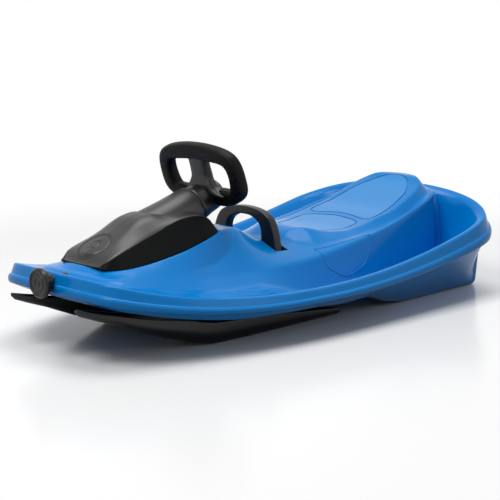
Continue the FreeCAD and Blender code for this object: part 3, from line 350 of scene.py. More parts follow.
def add_piece(name: str, points: np.ndarray, ring: bool = False, loop: bool = False) -> bpy.types.Object:
    """Mesh over a grid of points in millimetres.

    Args:
        name: name of the piece.
        points: grid shaped (rows, columns, 3).
        ring: the last column joins the first.
        loop: the last row joins the first.

    Returns:
        The object, at the origin, with doubled points of seams and poles welded.
    """
    rows, columns, _ = points.shape
    index = np.arange(rows * columns).reshape(rows, columns)
    if ring:
        index = np.hstack([index, index[:, :1]])
    if loop:
        index = np.vstack([index, index[:1]])
    quads = np.stack([index[:-1, :-1], index[:-1, 1:], index[1:, 1:], index[1:, :-1]], -1).reshape(-1, 4)
    mesh = bpy.data.meshes.new(name)
    mesh.from_pydata((points * MM).reshape(-1, 3), [], quads)
    work = bmesh.new()
    work.from_mesh(mesh)
    bmesh.ops.remove_doubles(work, verts=work.verts, dist=2e-6)
    if ring:
        bmesh.ops.recalc_face_normals(work, faces=work.faces)
    work.to_mesh(mesh)
    work.free()
    mesh.shade_smooth()
    piece = bpy.data.objects.new(name, mesh)
    bpy.context.scene.collection.objects.link(piece)
    return piece


def turned(profile: np.ndarray, sides: int) -> np.ndarray:
    """Rings of a turned shape: profile rows are (distance along the axis, radius).

    Returns:
        Local points (along, cos, sin) shaped (rows, sides, 3).
    """
    turn = np.linspace(0, 2 * math.pi, sides, endpoint=False)
    along = np.repeat(profile[:, :1], sides, axis=1)
    return np.stack([along, profile[:, 1:] * np.cos(turn), profile[:, 1:] * np.sin(turn)], -1)


def tube(path: np.ndarray, radius: float, sides: int) -> np.ndarray:
    """Round bead along a closed path: circles across the path's direction.

    Returns:
        Points shaped (points, sides, 3).
    """
    way = np.roll(path, -1, axis=0) - np.roll(path, 1, axis=0)
    way /= np.maximum(np.linalg.norm(way, axis=1), 1e-9)[:, None]
    first = np.cross(way, np.array([0.3, 0.9, 0.3]))
    first /= np.maximum(np.linalg.norm(first, axis=1), 1e-9)[:, None]
    second = np.cross(way, first)
    turn = np.linspace(0, 2 * math.pi, sides, endpoint=False)[:, None]
    return path[:, None] + radius * (np.cos(turn) * first[:, None] + np.sin(turn) * second[:, None])


def inside(points: np.ndarray, outline: np.ndarray) -> np.ndarray:
    """Even-odd test: whether each plan point lies inside a closed outline."""
    x, y = points[:, :1], points[:, 1:2]
    x1, y1 = outline.T
    x2, y2 = np.roll(outline, -1, axis=0).T
    straddles = (y1 > y) != (y2 > y)
    rise = np.where(y2 == y1, 1, y2 - y1)
    crossings = straddles & (x < x1 + (y - y1) / rise * (x2 - x1))
    return crossings.sum(axis=1) % 2 == 1


def soft_profile(corners: Sequence[tuple[float, float]], radius: float, bend: int = 5) -> np.ndarray:
    """Profile of straight runs with eased corners, from (along, radius) corners."""
    lines = np.zeros((len(corners), 1, 3))
    lines[:, 0, :2] = corners
    spans = [1] * len(corners)
    return rounded(lines, [radius] * len(corners), spans, bend)[0, :, :2]


def face_centres(piece: bpy.types.Object) -> np.ndarray:
    """Middles of a piece's faces in millimetres, one a row."""
    centres = np.zeros(len(piece.data.polygons) * 3)
    piece.data.polygons.foreach_get("center", centres)
    return centres.reshape(-1, 3) / MM


def bake(piece: bpy.types.Object) -> None:
    """Write a piece's modifiers into its mesh."""
    graph = bpy.context.evaluated_depsgraph_get()
    mesh = bpy.data.meshes.new_from_object(piece.evaluated_get(graph), depsgraph=graph)
    piece.modifiers.clear()
    piece.data = mesh


def thicken(piece: bpy.types.Object, wall: float) -> None:
    """Give a surface a wall on its inner side."""
    solid = piece.modifiers.new("wall", "SOLIDIFY")
    solid.thickness = wall * MM
    solid.offset = -1
    solid.use_even_offset = True
    bake(piece)


def carve(piece: bpy.types.Object, tools: Sequence[bpy.types.Object]) -> None:
    """Cut tools out of a piece, and remove the tools."""
    for tool in tools:
        step = piece.modifiers.new("cut", "BOOLEAN")
        step.operation = "DIFFERENCE"
        step.solver = "EXACT"
        step.object = tool
    bake(piece)
    piece.data.set_sharp_from_angle(angle=SHARP_EDGE)
    for tool in tools:
        bpy.data.objects.remove(tool)


def box_tool(low: Sequence[float], high: Sequence[float]) -> bpy.types.Object:
    """Cutting box between two corners in millimetres."""
    mesh = bpy.data.meshes.new("box_tool")
    work = bmesh.new()
    bmesh.ops.create_cube(work, size=1)
    low, high = np.array(low) * MM, np.array(high) * MM
    bmesh.ops.scale(work, vec=high - low, verts=work.verts)
    bmesh.ops.translate(work, vec=(low + high) / 2, verts=work.verts)
    work.to_mesh(mesh)
    work.free()
    tool = bpy.data.objects.new("box_tool", mesh)
    bpy.context.scene.collection.objects.link(tool)
    return tool


# Finishes

GRIP_MARK = "grip_mark"
BADGE_PLACE = 414.0
BADGE_SLOPE = math.radians(27.5)
BADGE_RINGS = ((28.0, 35.0), (7.5, 13.5))


def hex_colour(code: str) -> tuple[float, float, float, float]:
    """Linear colour of an sRGB hex code such as 0a78d2."""
    share = np.array([int(code[i : i + 2], 16) for i in (0, 2, 4)]) / 255
    linear = np.where(share <= 0.04045, share / 12.92, ((share + 0.055) / 1.055) ** 2.4)
    return (*map(float, linear), 1.0)


def add_node(tree: bpy.types.NodeTree, kind: str, inputs: dict[str, Any], **settings: Any) -> bpy.types.Node:
    """Add a shader node; an input is a constant or the socket that feeds it."""
    made = tree.nodes.new(kind)
    for key, value in settings.items():
        setattr(made, key, value)
    for socket, value in inputs.items():
        if isinstance(value, bpy.types.NodeSocket):
            tree.links.new(value, made.inputs[socket])
        else:
            made.inputs[socket].default_value = value
    return made


@dataclass(frozen=True)
class Finish:
    """Procedural finish of one real material.

    Attributes:
        name: name of the material.
        colour: base colour as a hex code.
        roughness: middle of the roughness.
        spread: how far the roughness wanders either way.
        metallic: 1 for bare metal.
        specular: strength of the mirror reflection seen straight on.
        grain_mm: size of the surface grain.
        relief_mm: height of that grain.
        stretch: scale of the grain along each axis.
        dots_mm: spacing of raised grip dots where the mesh carries the grip mark; 0 for none.
        ring_colour: colour inside the badge's ring grooves; none if empty.
    """

    name: str
    colour: str
    roughness: float
    spread: float = 0.03
    metallic: float = 0.0
    specular: float = 0.5
    grain_mm: float = 1.0
    relief_mm: float = 0.0
    stretch: tuple[float, float, float] = (1.0, 1.0, 1.0)
    dots_mm: float = 0.0
    ring_colour: str = ""

    def material(self) -> bpy.types.Material:
        """Build the node tree: grain gives small relief, a slow noise gives uneven polish."""
        material = bpy.data.materials.new(self.name)
        material.use_nodes = True
        tree = material.node_tree
        tree.nodes.clear()
        place = add_node(tree, "ShaderNodeTexCoord", {})
        scaled = add_node(
            tree, "ShaderNodeMapping", {"Vector": place.outputs["Object"], "Scale": self.stretch}
        )
        polish = add_node(
            tree, "ShaderNodeTexNoise", {"Vector": place.outputs["Object"], "Scale": 12.0, "Detail": 2.0}
        )
        gloss = add_node(
            tree,
            "ShaderNodeMapRange",
            {
                "Value": polish.outputs["Fac"],
                "To Min": max(0.02, self.roughness - self.spread),
                "To Max": self.roughness + self.spread,
            },
        )
        grain = add_node(
            tree,
            "ShaderNodeTexNoise",
            {"Vector": scaled.outputs["Vector"], "Scale": 1 / (self.grain_mm * MM), "Detail": 2.0},
        )
        relief = add_node(
            tree,
            "ShaderNodeBump",
            {"Height": grain.outputs["Fac"], "Strength": 1.0, "Distance": self.relief_mm * MM},
        )
        if self.dots_mm:
            relief = self.dots(tree, place.outputs["Object"], relief.outputs["Normal"])
        shader = add_node(
            tree,
            "ShaderNodeBsdfPrincipled",
            {
                "Base Color": hex_colour(self.colour),
                "Roughness": gloss.outputs["Result"],
                "Metallic": self.metallic,
                "Specular IOR Level": self.specular,
                "Normal": relief.outputs["Normal"],
            },
        )
        if self.ring_colour:
            tree.links.new(self.rings(tree, place.outputs["Object"]), shader.inputs["Base Color"])
        add_node(tree, "ShaderNodeOutputMaterial", {"Surface": shader.outputs["BSDF"]})
        return material

    def rings(self, tree: bpy.types.NodeTree, place: bpy.types.NodeSocket) -> bpy.types.NodeSocket:
        """Base colour with dark rings round the badge's middle, by distance along the slope."""
        flat = add_node(
            tree,
            "ShaderNodeMapping",
            {
                "Vector": place,
                "Location": (-BADGE_PLACE * MM / math.cos(BADGE_SLOPE), 0, 0),
                "Scale": (1 / math.cos(BADGE_SLOPE), 1, 0),
            },
        )
        away = add_node(tree, "ShaderNodeVectorMath", {0: flat.outputs["Vector"]}, operation="LENGTH")
        reach = 1.25 * BADGE_RINGS[0][1]
        share = add_node(
            tree, "ShaderNodeMapRange", {"Value": away.outputs["Value"], "From Max": reach * MM}
        )
        ramp = add_node(tree, "ShaderNodeValToRGB", {"Fac": share.outputs["Result"]})
        plain, dark = hex_colour(self.colour), hex_colour(self.ring_colour)
        stops = [(0.0, plain)]
        for inner, outer in sorted(BADGE_RINGS):
            stops += [(inner - 0.4, plain), (inner + 0.4, dark), (outer - 0.4, dark), (outer + 0.4, plain)]
        points = ramp.color_ramp.elements
        for at, _ in stops[2:]:
            points.new(at / reach)
        for point, (at, colour) in zip(points, stops):
            point.position = at / reach
            point.color = colour
        return ramp.outputs["Color"]

    def dots(
        self, tree: bpy.types.NodeTree, place: bpy.types.NodeSocket, normal: bpy.types.NodeSocket
    ) -> bpy.types.Node:
        """Raised dots, one in each cell of a Voronoi pattern, on the marked part of the mesh."""
        cells = add_node(
            tree,
            "ShaderNodeTexVoronoi",
            {"Vector": place, "Scale": 1 / (self.dots_mm * MM), "Randomness": 0.35},
        )
        mark = add_node(tree, "ShaderNodeAttribute", {}, attribute_name=GRIP_MARK)
        dome = add_node(
            tree,
            "ShaderNodeMapRange",
            {"Value": cells.outputs["Distance"], "From Max": 0.5, "To Min": 1.0, "To Max": 0.0},
        )
        height = add_node(
            tree, "ShaderNodeMath", {0: dome.outputs["Result"], 1: mark.outputs["Fac"]}, operation="MULTIPLY"
        )
        return add_node(
            tree,
            "ShaderNodeBump",
            {"Height": height.outputs["Value"], "Distance": 1.2 * MM, "Normal": normal},
        )


# Moulded gloss polyethylene: deep blue with a smooth sheen that carries long soft highlights
BLUE_GLOSS = Finish("blue_moulded_plastic", "007bc8", 0.2, specular=0.16, grain_mm=9.0, relief_mm=0.02)
# The same plastic with a fine moulded texture on the seats; its paler colour is painted sheen, and the rougher finish
# makes it flatter
BLUE_TEXTURED_PAINTED_SHEEN = Finish("blue_textured_plastic", "0f83cc", 0.34, specular=0.4, grain_mm=1.6, relief_mm=0.04)
# Fine-grained charcoal plastic of the console, which scatters light into broad dull highlights
CHARCOAL = Finish(
    "charcoal_grained_plastic", "1d1d1c", 0.36, grain_mm=1.4, relief_mm=0.05, ring_colour="040404"
)
# The same plastic on the console's sides, duller; its near-black colour is painted shade
SIDE_PANEL_PAINTED_SHADE = Finish("black_dull_plastic", "050607", 0.6, specular=0.08, grain_mm=1.4, relief_mm=0.04)
# Polished black plastic of the skis, lever and knob, with small clear highlights on its edges
BLACK_GLOSS = Finish("black_gloss_plastic", "0d0e10", 0.3, specular=0.35, grain_mm=8.0, relief_mm=0.02)
# Dull black grip plastic of the wheel, which swallows light and shows fine raised dots
BLACK_GRIP = Finish(
    "black_grip_plastic", "050506", 0.46, specular=0.12, grain_mm=1.6, relief_mm=0.03, dots_mm=4.5
)
# Satin black plastic of the wheel's hub, with a broad soft sheen
BLACK_SATIN = Finish("black_satin_plastic", "101011", 0.4, specular=0.45, grain_mm=1.6, relief_mm=0.03)
# Drawn steel with fine lines along its length
STEEL = Finish(
    "drawn_steel", "8f9396", 0.34, metallic=1.0, grain_mm=0.6, relief_mm=0.01, stretch=(0.05, 1.0, 1.0)
)
# Natural white bearing plastic, waxy and even
BEARING = Finish("natural_bearing_plastic", "c9c8c0", 0.4, grain_mm=2.0, relief_mm=0.02)

SLOT_FINISHES = {
    Slot.BLUE_SHELL: BLUE_GLOSS,
    Slot.CONSOLE: CHARCOAL,
    Slot.BLACK: BLACK_GLOSS,
    Slot.GRIP: BLACK_GRIP,
    Slot.STEEL: STEEL,
    Slot.BEARING: BEARING,
}


class Palette:
    """Materials, each built once from its finish."""

    def __init__(self) -> None:
        self.made: dict[str, bpy.types.Material] = {}

    def of(self, finish: Finish) -> bpy.types.Material:
        """Material of a finish."""
        if finish.name not in self.made:
            self.made[finish.name] = finish.material()
        return self.made[finish.name]

    def dress(
        self, piece: bpy.types.Object, finish: Finish, body: Body, slot: Slot, *nodes: str
    ) -> bpy.types.Object:
        """Give a piece its material, body and slot.

        Args:
            piece: the new piece.
            finish: its finish.
            body: the body that it rides on.
            slot: its material slot.
            nodes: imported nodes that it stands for.

        Returns:
            The piece.
        """
        piece.data.materials.clear()
        piece.data.materials.append(self.of(finish))
        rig.ride(piece, body.value)
        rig.slot(piece, slot.value)
        if nodes:
            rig.replaces(piece, *nodes)
        return piece

    def dress_packed(self) -> None:
        """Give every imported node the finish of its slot."""
        slots = {entry["node"]: entry["material_slot"] for entry in frame["record"]["subparts"]}
        for name, packed in frame["nodes"].items():
            finish = SLOT_FINISHES[Slot(slots[name])]
            packed.data.materials.clear()
            packed.data.materials.append(self.of(finish))


# Shell of the sled


@dataclass(frozen=True)
class ShellForm:
    """Lines of the deck, from the rim's plan shape and heights, in millimetres."""

    tail_lip: float = -548.0
    nose_lip: float = 524.0
    crest_half_width: float = 271.0
    flare: float = 12.0
    crest_width: float = 14.0
    drop: float = 26.0
    waist_height: float = 101.0
    waist_place: float = 70.0
    nose_rise: float = 62.0
    tail_rise: float = 97.0
    tail_crown: float = 19.0
    widest: float = -180.0
    nose_bluntness: float = 90.0
    tail_squareness: float = 8.9
    well_floor: float = 62.0
    seat: float = 171.0
    seat_back: float = 237.0
    places: int = 200

    @property
    def crest_nose(self) -> float:
        """Front end of the crest."""
        return self.nose_lip - self.flare

    @property
    def crest_tail(self) -> float:
        """Rear end of the crest."""
        return self.tail_lip + self.flare

    def half_width(self, x: np.ndarray, offset: np.ndarray | float, nose: float, tail: float) -> np.ndarray:
        """Plan of the rim: narrows with the cube of the way to a blunt nose, squared off at the tail."""
        ahead = np.clip((x - self.widest) / (nose - self.widest), 0, 1)
        behind = np.clip((self.widest - x) / (self.widest - tail), 0, 1)
        width = (self.crest_half_width + offset) * (1 - 0.48 * ahead**3)
        return width * np.sqrt(1 - ahead**self.nose_bluntness) * np.sqrt(1 - behind**self.tail_squareness)

    def share(self, x: np.ndarray) -> np.ndarray:
        """Share of the way from the waist to the nose (positive) or the tail (negative)."""
        ahead = np.clip((x - self.waist_place) / (self.nose_lip - self.waist_place), 0, 1)
        behind = np.clip((self.waist_place - x) / (self.waist_place - self.tail_lip), 0, 1)
        return ahead - behind

    def crest(self, x: np.ndarray, y: np.ndarray) -> np.ndarray:
        """Height of the crest, which dips at the waist and swells over the tail."""
        share = self.share(x)
        across = np.minimum(1, np.abs(y) / self.crest_half_width)
        front = self.nose_rise * np.clip(share, 0, 1) ** 2.7
        rear = self.tail_rise * np.clip(-share, 0, 1) ** 2
        crown = self.tail_crown * ease(440, 520, -x) * (1 - across**2)
        return self.waist_height + front + rear + crown

    def band(self, x: np.ndarray) -> np.ndarray:
        """Height of the rim band from crest to lip."""
        share = self.share(x)
        return self.drop + 17 * np.clip(share, 0, 1) ** 3 + 30 * np.clip(-share, 0, 1) ** 1.5

    def rim_line(self, offset: float, share_of_drop: float) -> np.ndarray:
        """One line of the rim band."""
        nose, tail = self.crest_nose + offset, self.crest_tail - offset
        x = spread(nose, tail, self.places)
        y = self.half_width(x, offset, nose, tail)
        return np.stack([x, y, self.crest(x, y) - share_of_drop * self.band(x)], -1)

    def well(self, x: np.ndarray, y: np.ndarray) -> np.ndarray:
        """Floor of the foot wells: a ramp to the nose, and a bridge behind the seat."""
        ramp = (
            (499, 93), (425, 69), (335, 49), (250, 41), (190, 38), (150, 36),
            (100, 24), (40, 6), (0, 0), (-100, -2), (-400, 4),
        )
        crest = self.crest(x, y)
        level = np.minimum(self.well_floor + through(x, ramp), crest - 3)
        bridge = (crest + 5 - level) * ease(122, 92, y)
        return level + np.where(x < -440, bridge, 0)

    def well_offset(self, x: np.ndarray) -> np.ndarray:
        """Offset of the well's outer corner from the crest, for its sloping wall."""
        side = self.half_width(x, 0, self.crest_nose, self.crest_tail)
        depth = self.crest(x, side) - self.well(x, np.maximum(side, 122))
        return -self.crest_width - 8 - 0.72 * depth

    def well_line(self) -> np.ndarray:
        """Outer corner of the wells."""
        nose, tail = self.crest_nose - self.crest_width - 6, self.crest_tail + self.crest_width + 14
        x = spread(nose, tail, self.places)
        y = self.half_width(x, self.well_offset(x), nose, tail)
        return np.stack([x, y, self.well(x, y)], -1)

    def body_line(self, nose: float, tail: float, widths: Stations, height: Callable) -> np.ndarray:
        """Line round the middle body.

        Args:
            nose: front end of the line.
            tail: rear end of the line.
            widths: stations of half width.
            height: height of the line over (x, y).

        Returns:
            Points of the left side from nose to tail.
        """
        x = spread(nose, tail, self.places)
        y = blunt_width(x, nose, tail, widths)
        return np.stack([x, y, height(x, y)], -1)

    def top(self, x: np.ndarray, y: np.ndarray) -> np.ndarray:
        """Top of the middle body: console plateau, coaming, saddle and rear seat."""
        stations = (
            (456, 163), (439, 159), (409, 158), (371, 160), (326, 165), (276, 172), (222, 182), (184, 190),
            (150, 197), (114, 196), (75, 180), (38, 162), (0, 150), (-30, 148), (-60, self.seat - 7),
            (-85, self.seat - 1), (-105, self.seat - 4), (-125, self.seat - 10), (-150, self.seat - 14),
            (-190, self.seat - 15), (-225, self.seat - 11), (-250, self.seat - 7), (-300, self.seat + 4),
            (-330, self.seat + 10), (-400, self.seat + 34), (-450, self.seat_back - 12),
            (-475, self.seat_back), (-490, self.seat_back + 1),
        )
        return through(x, stations) + 0 * y

    def deck_lines(self) -> np.ndarray:
        """Centre line, then the deck's lines out to the lip."""
        seat_edge = self.body_line(456, -490, TOP_WIDTHS, self.top)
        centre = seat_edge * np.array([1, 0, 1])
        return np.stack([
            centre,
            seat_edge,
            self.body_line(471, -503, LEDGE_INNER_WIDTHS, lambda x, y: through(x, LEDGE_INNER_HEIGHTS)),
            self.body_line(480, -506, LEDGE_OUTER_WIDTHS, lambda x, y: through(x, LEDGE_OUTER_HEIGHTS)),
            self.body_line(486, -504, WELL_INNER_WIDTHS, self.well),
            self.well_line(),
            self.rim_line(-self.crest_width, 0.06),
            self.rim_line(0, 0),
            self.rim_line(0.55 * self.flare, 0.57),
            self.rim_line(0.78 * self.flare, 0.61),
            self.rim_line(self.flare, 0.73),
            self.rim_line(self.flare, 0.9),
            self.rim_line(0.9 * self.flare, 1),
        ])


TOP_WIDTHS = (
    (439, 70), (409, 83), (371, 87), (326, 89), (276, 88), (222, 83), (184, 77), (150, 69), (114, 56),
    (75, 50), (38, 46), (0, 42), (-30, 40), (-60, 44), (-98, 66), (-150, 88), (-190, 96), (-251, 100),
    (-330, 100), (-400, 96), (-450, 84), (-475, 66),
)
LEDGE_INNER_WIDTHS = (
    (477, 62), (397, 104), (299, 115), (215, 106), (165, 95), (139, 84), (114, 66), (75, 61), (38, 58),
    (0, 62), (-30, 80), (-60, 98), (-92, 110), (-215, 119), (-361, 114), (-418, 107), (-470, 95), (-490, 84),
)
LEDGE_OUTER_WIDTHS = (
    (487, 104), (408, 117), (310, 127), (199, 130), (85, 136), (3, 139),
    (-80, 143), (-195, 142), (-282, 138), (-396, 125), (-470, 110), (-500, 98),
)
LEDGE_INNER_HEIGHTS = (
    (477, 155), (397, 149), (299, 141), (215, 142), (165, 156), (139, 173), (114, 192), (75, 177), (38, 160),
    (0, 151), (-30, 144), (-60, 141), (-92, 142), (-215, 149), (-361, 171), (-418, 192), (-470, 208),
    (-500, 216),
)
LEDGE_OUTER_HEIGHTS = (
    (487, 153), (408, 141), (310, 130), (199, 122), (85, 121), (3, 123),
    (-80, 131), (-195, 148), (-282, 163), (-396, 190), (-470, 206), (-500, 213),
)
WELL_INNER_WIDTHS = (
    (495, 118), (425, 137), (335, 155), (269, 162), (196, 165), (100, 168),
    (0, 172), (-100, 172), (-250, 164), (-400, 146), (-470, 126), (-500, 112),
)


@dataclass
class Deck:
    """Upper shell of the sled."""

    form: ShellForm
    wall: float = 3.0
    radii: tuple[float, ...] = (0, 4, 3, 7, 12, 13, 8, 6, 1.5, 1.5, 4, 4, 0)
    spans: tuple[int, ...] = (12, 4, 4, 8, 6, 8, 2, 4, 1, 2, 2, 2)
    bend: int = 5
    front_panel: Stations = (
        (-90, 0), (-98, 18), (-118, 43), (-149, 66), (-189, 77), (-225, 79), (-243, 74), (-252, 60),
        (-260, 30), (-264, 0),
    )
    rear_panel: Stations = (
        (-280, 0), (-275, 37), (-268, 66), (-269, 80), (-280, 88), (-300, 89), (-338, 85), (-385, 78),
        (-415, 70), (-444, 52), (-465, 28), (-472, 0),
    )
    groove_width: float = 3.2
    groove_depth: float = 1.8
    tread_arcs: tuple[tuple[float, float, float], ...] = ((172, 170, 38), (184, 176, 58), (196, 182, 98))
    tread_width: float = 2.2
    tread_depth: float = 1.6
    tread_reach: float = 226.0
    bead_radius: float = 1.0
    slot_ends: tuple[float, float] = (-8.5, 28.5)
    slot_sides: Stations = ((45.5, 95.5), (-95.5, -45.5))
    slot_heights: tuple[float, float] = (92.0, 212.0)
    window_low: tuple[float, float, float] = (259, -68, 64)
    window_high: tuple[float, float, float] = (349, 68, 184)
    flap: Stations = (
        (-60, 0.54), (-61, 0.2), (-60, -0.3), (-80, -0.55), (-104, -0.72), (-138, -0.71), (-170, -0.61),
        (-200, -0.27), (-207, 0.02), (-134, 0.46), (-60, 0.54),
    )

    def panel(self, half: Stations) -> np.ndarray:
        """Closed plan outline of a seat panel: a spline through one side, and its mirror image."""
        knots = np.array(half, float)
        side = spline(knots, way_along(knots), (np.array([0, 1.0]), np.array([0, -1.0])), 90)
        return np.concatenate([side, side[-2:0:-1] * np.array([1, -1])])

    def groove(
        self, plan: np.ndarray, height: Callable, width: float, depth: float, loop: bool
    ) -> bpy.types.Object:
        """Cutting bar along a plan line: a narrow box section that follows the surface's height.

        Args:
            plan: points of the line, shaped (points, 2).
            height: height of the surface over (x, y).
            width: width of the groove.
            depth: depth of the groove.
            loop: the line is closed.

        Returns:
            The cutting tool.
        """
        way = np.roll(plan, -1, axis=0) - np.roll(plan, 1, axis=0) if loop else np.gradient(plan, axis=0)
        across = np.stack([way[:, 1], -way[:, 0]], -1) / np.linalg.norm(way, axis=1)[:, None]
        section = np.array([(-width / 2, -depth), (width / 2, -depth), (width / 2, 5.0), (-width / 2, 5.0)])
        flat = plan[:, None] + across[:, None] * section[None, :, :1]
        lift = height(flat[..., 0], flat[..., 1]) + section[:, 1]
        bar = np.concatenate([flat, lift[..., None]], -1)
        return add_piece("groove_tool", bar if loop else capped(bar), ring=True, loop=loop)

    def treads(self) -> list[bpy.types.Object]:
        """Grooves of the foot treads: arcs round the heel on each ramp, the widest one cut short."""

        def ramp(x: np.ndarray, y: np.ndarray) -> np.ndarray:
            return self.form.well(x, np.abs(y))

        tools = []
        for side in (1, -1):
            for x, y, radius in self.tread_arcs:
                turn = np.radians(np.linspace(2, 112 if radius < 90 else 16, 40))
                arc = np.stack([x + radius * np.cos(turn), side * (y + 0.9 * radius * np.sin(turn))], -1)
                arc = arc[np.abs(arc[:, 1]) < self.tread_reach]
                tools.append(self.groove(arc, ramp, self.tread_width, self.tread_depth, False))
        return tools

    def flap_line(self, side: int) -> np.ndarray:
        """Line of the flap on the island's wall.

        Args:
            side: 1 for the left, -1 for the right.

        Returns:
            Points of a closed line. A share of 0 is the ledge's edge, 1 the seat's foot and -1 the well.
        """
        knots = np.array(self.flap, float)
        way = way_along(knots * [1, 60])
        x, share = spline(knots, way, (np.array([0, -0.01]), np.array([0.6, 0])), 150).T
        edge = np.stack([x, through(x, LEDGE_OUTER_WIDTHS), through(x, LEDGE_OUTER_HEIGHTS)], -1)
        inner = np.stack([x, through(x, LEDGE_INNER_WIDTHS), through(x, LEDGE_INNER_HEIGHTS)], -1)
        foot = np.stack([x, through(x, WELL_INNER_WIDTHS), self.form.well(x, 0 * x + 150)], -1)
        line = edge + np.where(share > 0, share, 0)[:, None] * (inner - edge)
        line = line + np.where(share < 0, -share, 0)[:, None] * (foot - edge)
        return line * np.array([1, side, 1])

    def build(self, palette: Palette) -> list[bpy.types.Object]:
        """Shell over the deck's lines, with slots, the column's opening and shallow grooves cut out."""
        half = rounded(self.form.deck_lines(), self.radii, self.spans, self.bend)
        shell = add_piece("deck_shell", both_halves(half))
        thicken(shell, self.wall)
        (rear, front), (low, high) = self.slot_ends, self.slot_heights
        slots = [box_tool((rear, right, low), (front, left, high)) for right, left in self.slot_sides]
        window = box_tool(self.window_low, self.window_high)
        outlines = [self.panel(self.front_panel), self.panel(self.rear_panel)]
        cut = (self.form.top, self.groove_width, self.groove_depth, True)
        grooves = [self.groove(outline, *cut) for outline in outlines]
        carve(shell, [*slots, window, *grooves, *self.treads()])
        pieces = [palette.dress(shell, BLUE_GLOSS, Body.HULL, Slot.BLUE_SHELL, "upper_deck_shell")]
        self.texture_panels_painted_sheen(shell, outlines, palette)
        for side, name in ((1, "left"), (-1, "right")):
            line = tube(self.flap_line(side), self.bead_radius, 8)
            bead = add_piece(f"flap_line_{name}", line, ring=True, loop=True)
            pieces.append(palette.dress(bead, BLUE_GLOSS, Body.HULL, Slot.BLUE_SHELL))
        return pieces

    def texture_panels_painted_sheen(
        self, shell: bpy.types.Object, outlines: Sequence[np.ndarray], palette: Palette
    ) -> None:
        """Give the faces inside the panel outlines the textured finish, whose paler colour is painted sheen (even-odd
        test in plan).
        """
        centres = face_centres(shell)
        near_top = np.abs(centres[:, 2] - self.form.top(centres[:, 0], centres[:, 1])) < 1.0
        chosen = np.zeros(len(centres), dtype=np.int32)
        picked = np.nonzero(near_top & (centres[:, 0] < -80))[0]
        for outline in outlines:
            chosen[picked] |= inside(centres[picked, :2], outline)
        # the panels' paler blue is painted sheen
        shell.data.materials.append(palette.of(BLUE_TEXTURED_PAINTED_SHEEN))
        shell.data.polygons.foreach_set("material_index", chosen)


@dataclass
class TailTub:
    """Smooth outside of the tail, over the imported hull's steps, from under the rim to the ground."""

    form: ShellForm
    front: float = -80.0
    tail: float = -541.0
    places: int = 120
    foot_widths: Stations = ((-80, 222), (-150, 206), (-220, 191), (-300, 185), (-405, 185), (-541, 188))
    foot_heights: Stations = ((-80, 52), (-150, 32), (-220, 10), (-280, 1), (-541, 0.3))
    corner_half_width: float = 199.0
    wall: float = 2.0
    squareness: float = 60.0
    square_start: float = -300.0
    rim_offset: float = 4.0
    rim_share: float = 0.93
    turn_in: float = 30.0
    shoulder_share: float = 0.8

    def steps_to(self, tail: float) -> np.ndarray:
        """Places from the front to a tail, closer together at the tail (sine steps)."""
        return self.front + (tail - self.front) * np.sin(np.linspace(0, math.pi / 2, self.places))

    def squared(self, x: np.ndarray, tail: float) -> np.ndarray:
        """Share of the full width in plan, which falls to 0 in a tight corner at the tail."""
        behind = np.clip((x - self.square_start) / (tail - self.square_start), 0, 1)
        return np.sqrt(1 - behind**self.squareness)

    def foot_line(self, inset: float) -> np.ndarray:
        """Line round the foot, squared off at the tail and drawn in by a distance."""
        x = self.steps_to(self.tail + inset)
        y = (through(x, self.foot_widths) - inset) * self.squared(x, self.tail + inset)
        return np.stack([x, y, through(x, self.foot_heights)], -1)

    def rim_line(self) -> np.ndarray:
        """Line under the rim, where the wall starts."""
        tail = self.form.crest_tail - self.rim_offset
        x = self.steps_to(tail)
        y = self.form.half_width(x, self.rim_offset, self.form.crest_nose, tail)
        return np.stack([x, y, self.form.crest(x, y) - self.rim_share * self.form.band(x)], -1)

    def build(self, palette: Palette) -> list[bpy.types.Object]:
        """Wall from under the rim over a squared shoulder to the foot, which is eased and turned in."""
        top, foot, under = self.rim_line(), self.foot_line(0), self.foot_line(self.turn_in)
        shoulder = (1 - self.shoulder_share) * foot + self.shoulder_share * top
        shoulder[:, 0] = foot[:, 0]
        corner = self.corner_half_width * self.squared(foot[:, 0], self.tail)
        shoulder[:, 1] = np.maximum(shoulder[:, 1], corner)
        half = rounded(np.stack([under, foot, shoulder, top]), (0, 14, 10, 0), (4, 12, 4), 7)[:, ::-1]
        loop = np.concatenate([half, half[-2::-1] * np.array([1, -1, 1])])
        tub = add_piece("tail_tub", loop)
        thicken(tub, self.wall)
        return [palette.dress(tub, BLUE_GLOSS, Body.HULL, Slot.BLUE_SHELL)]


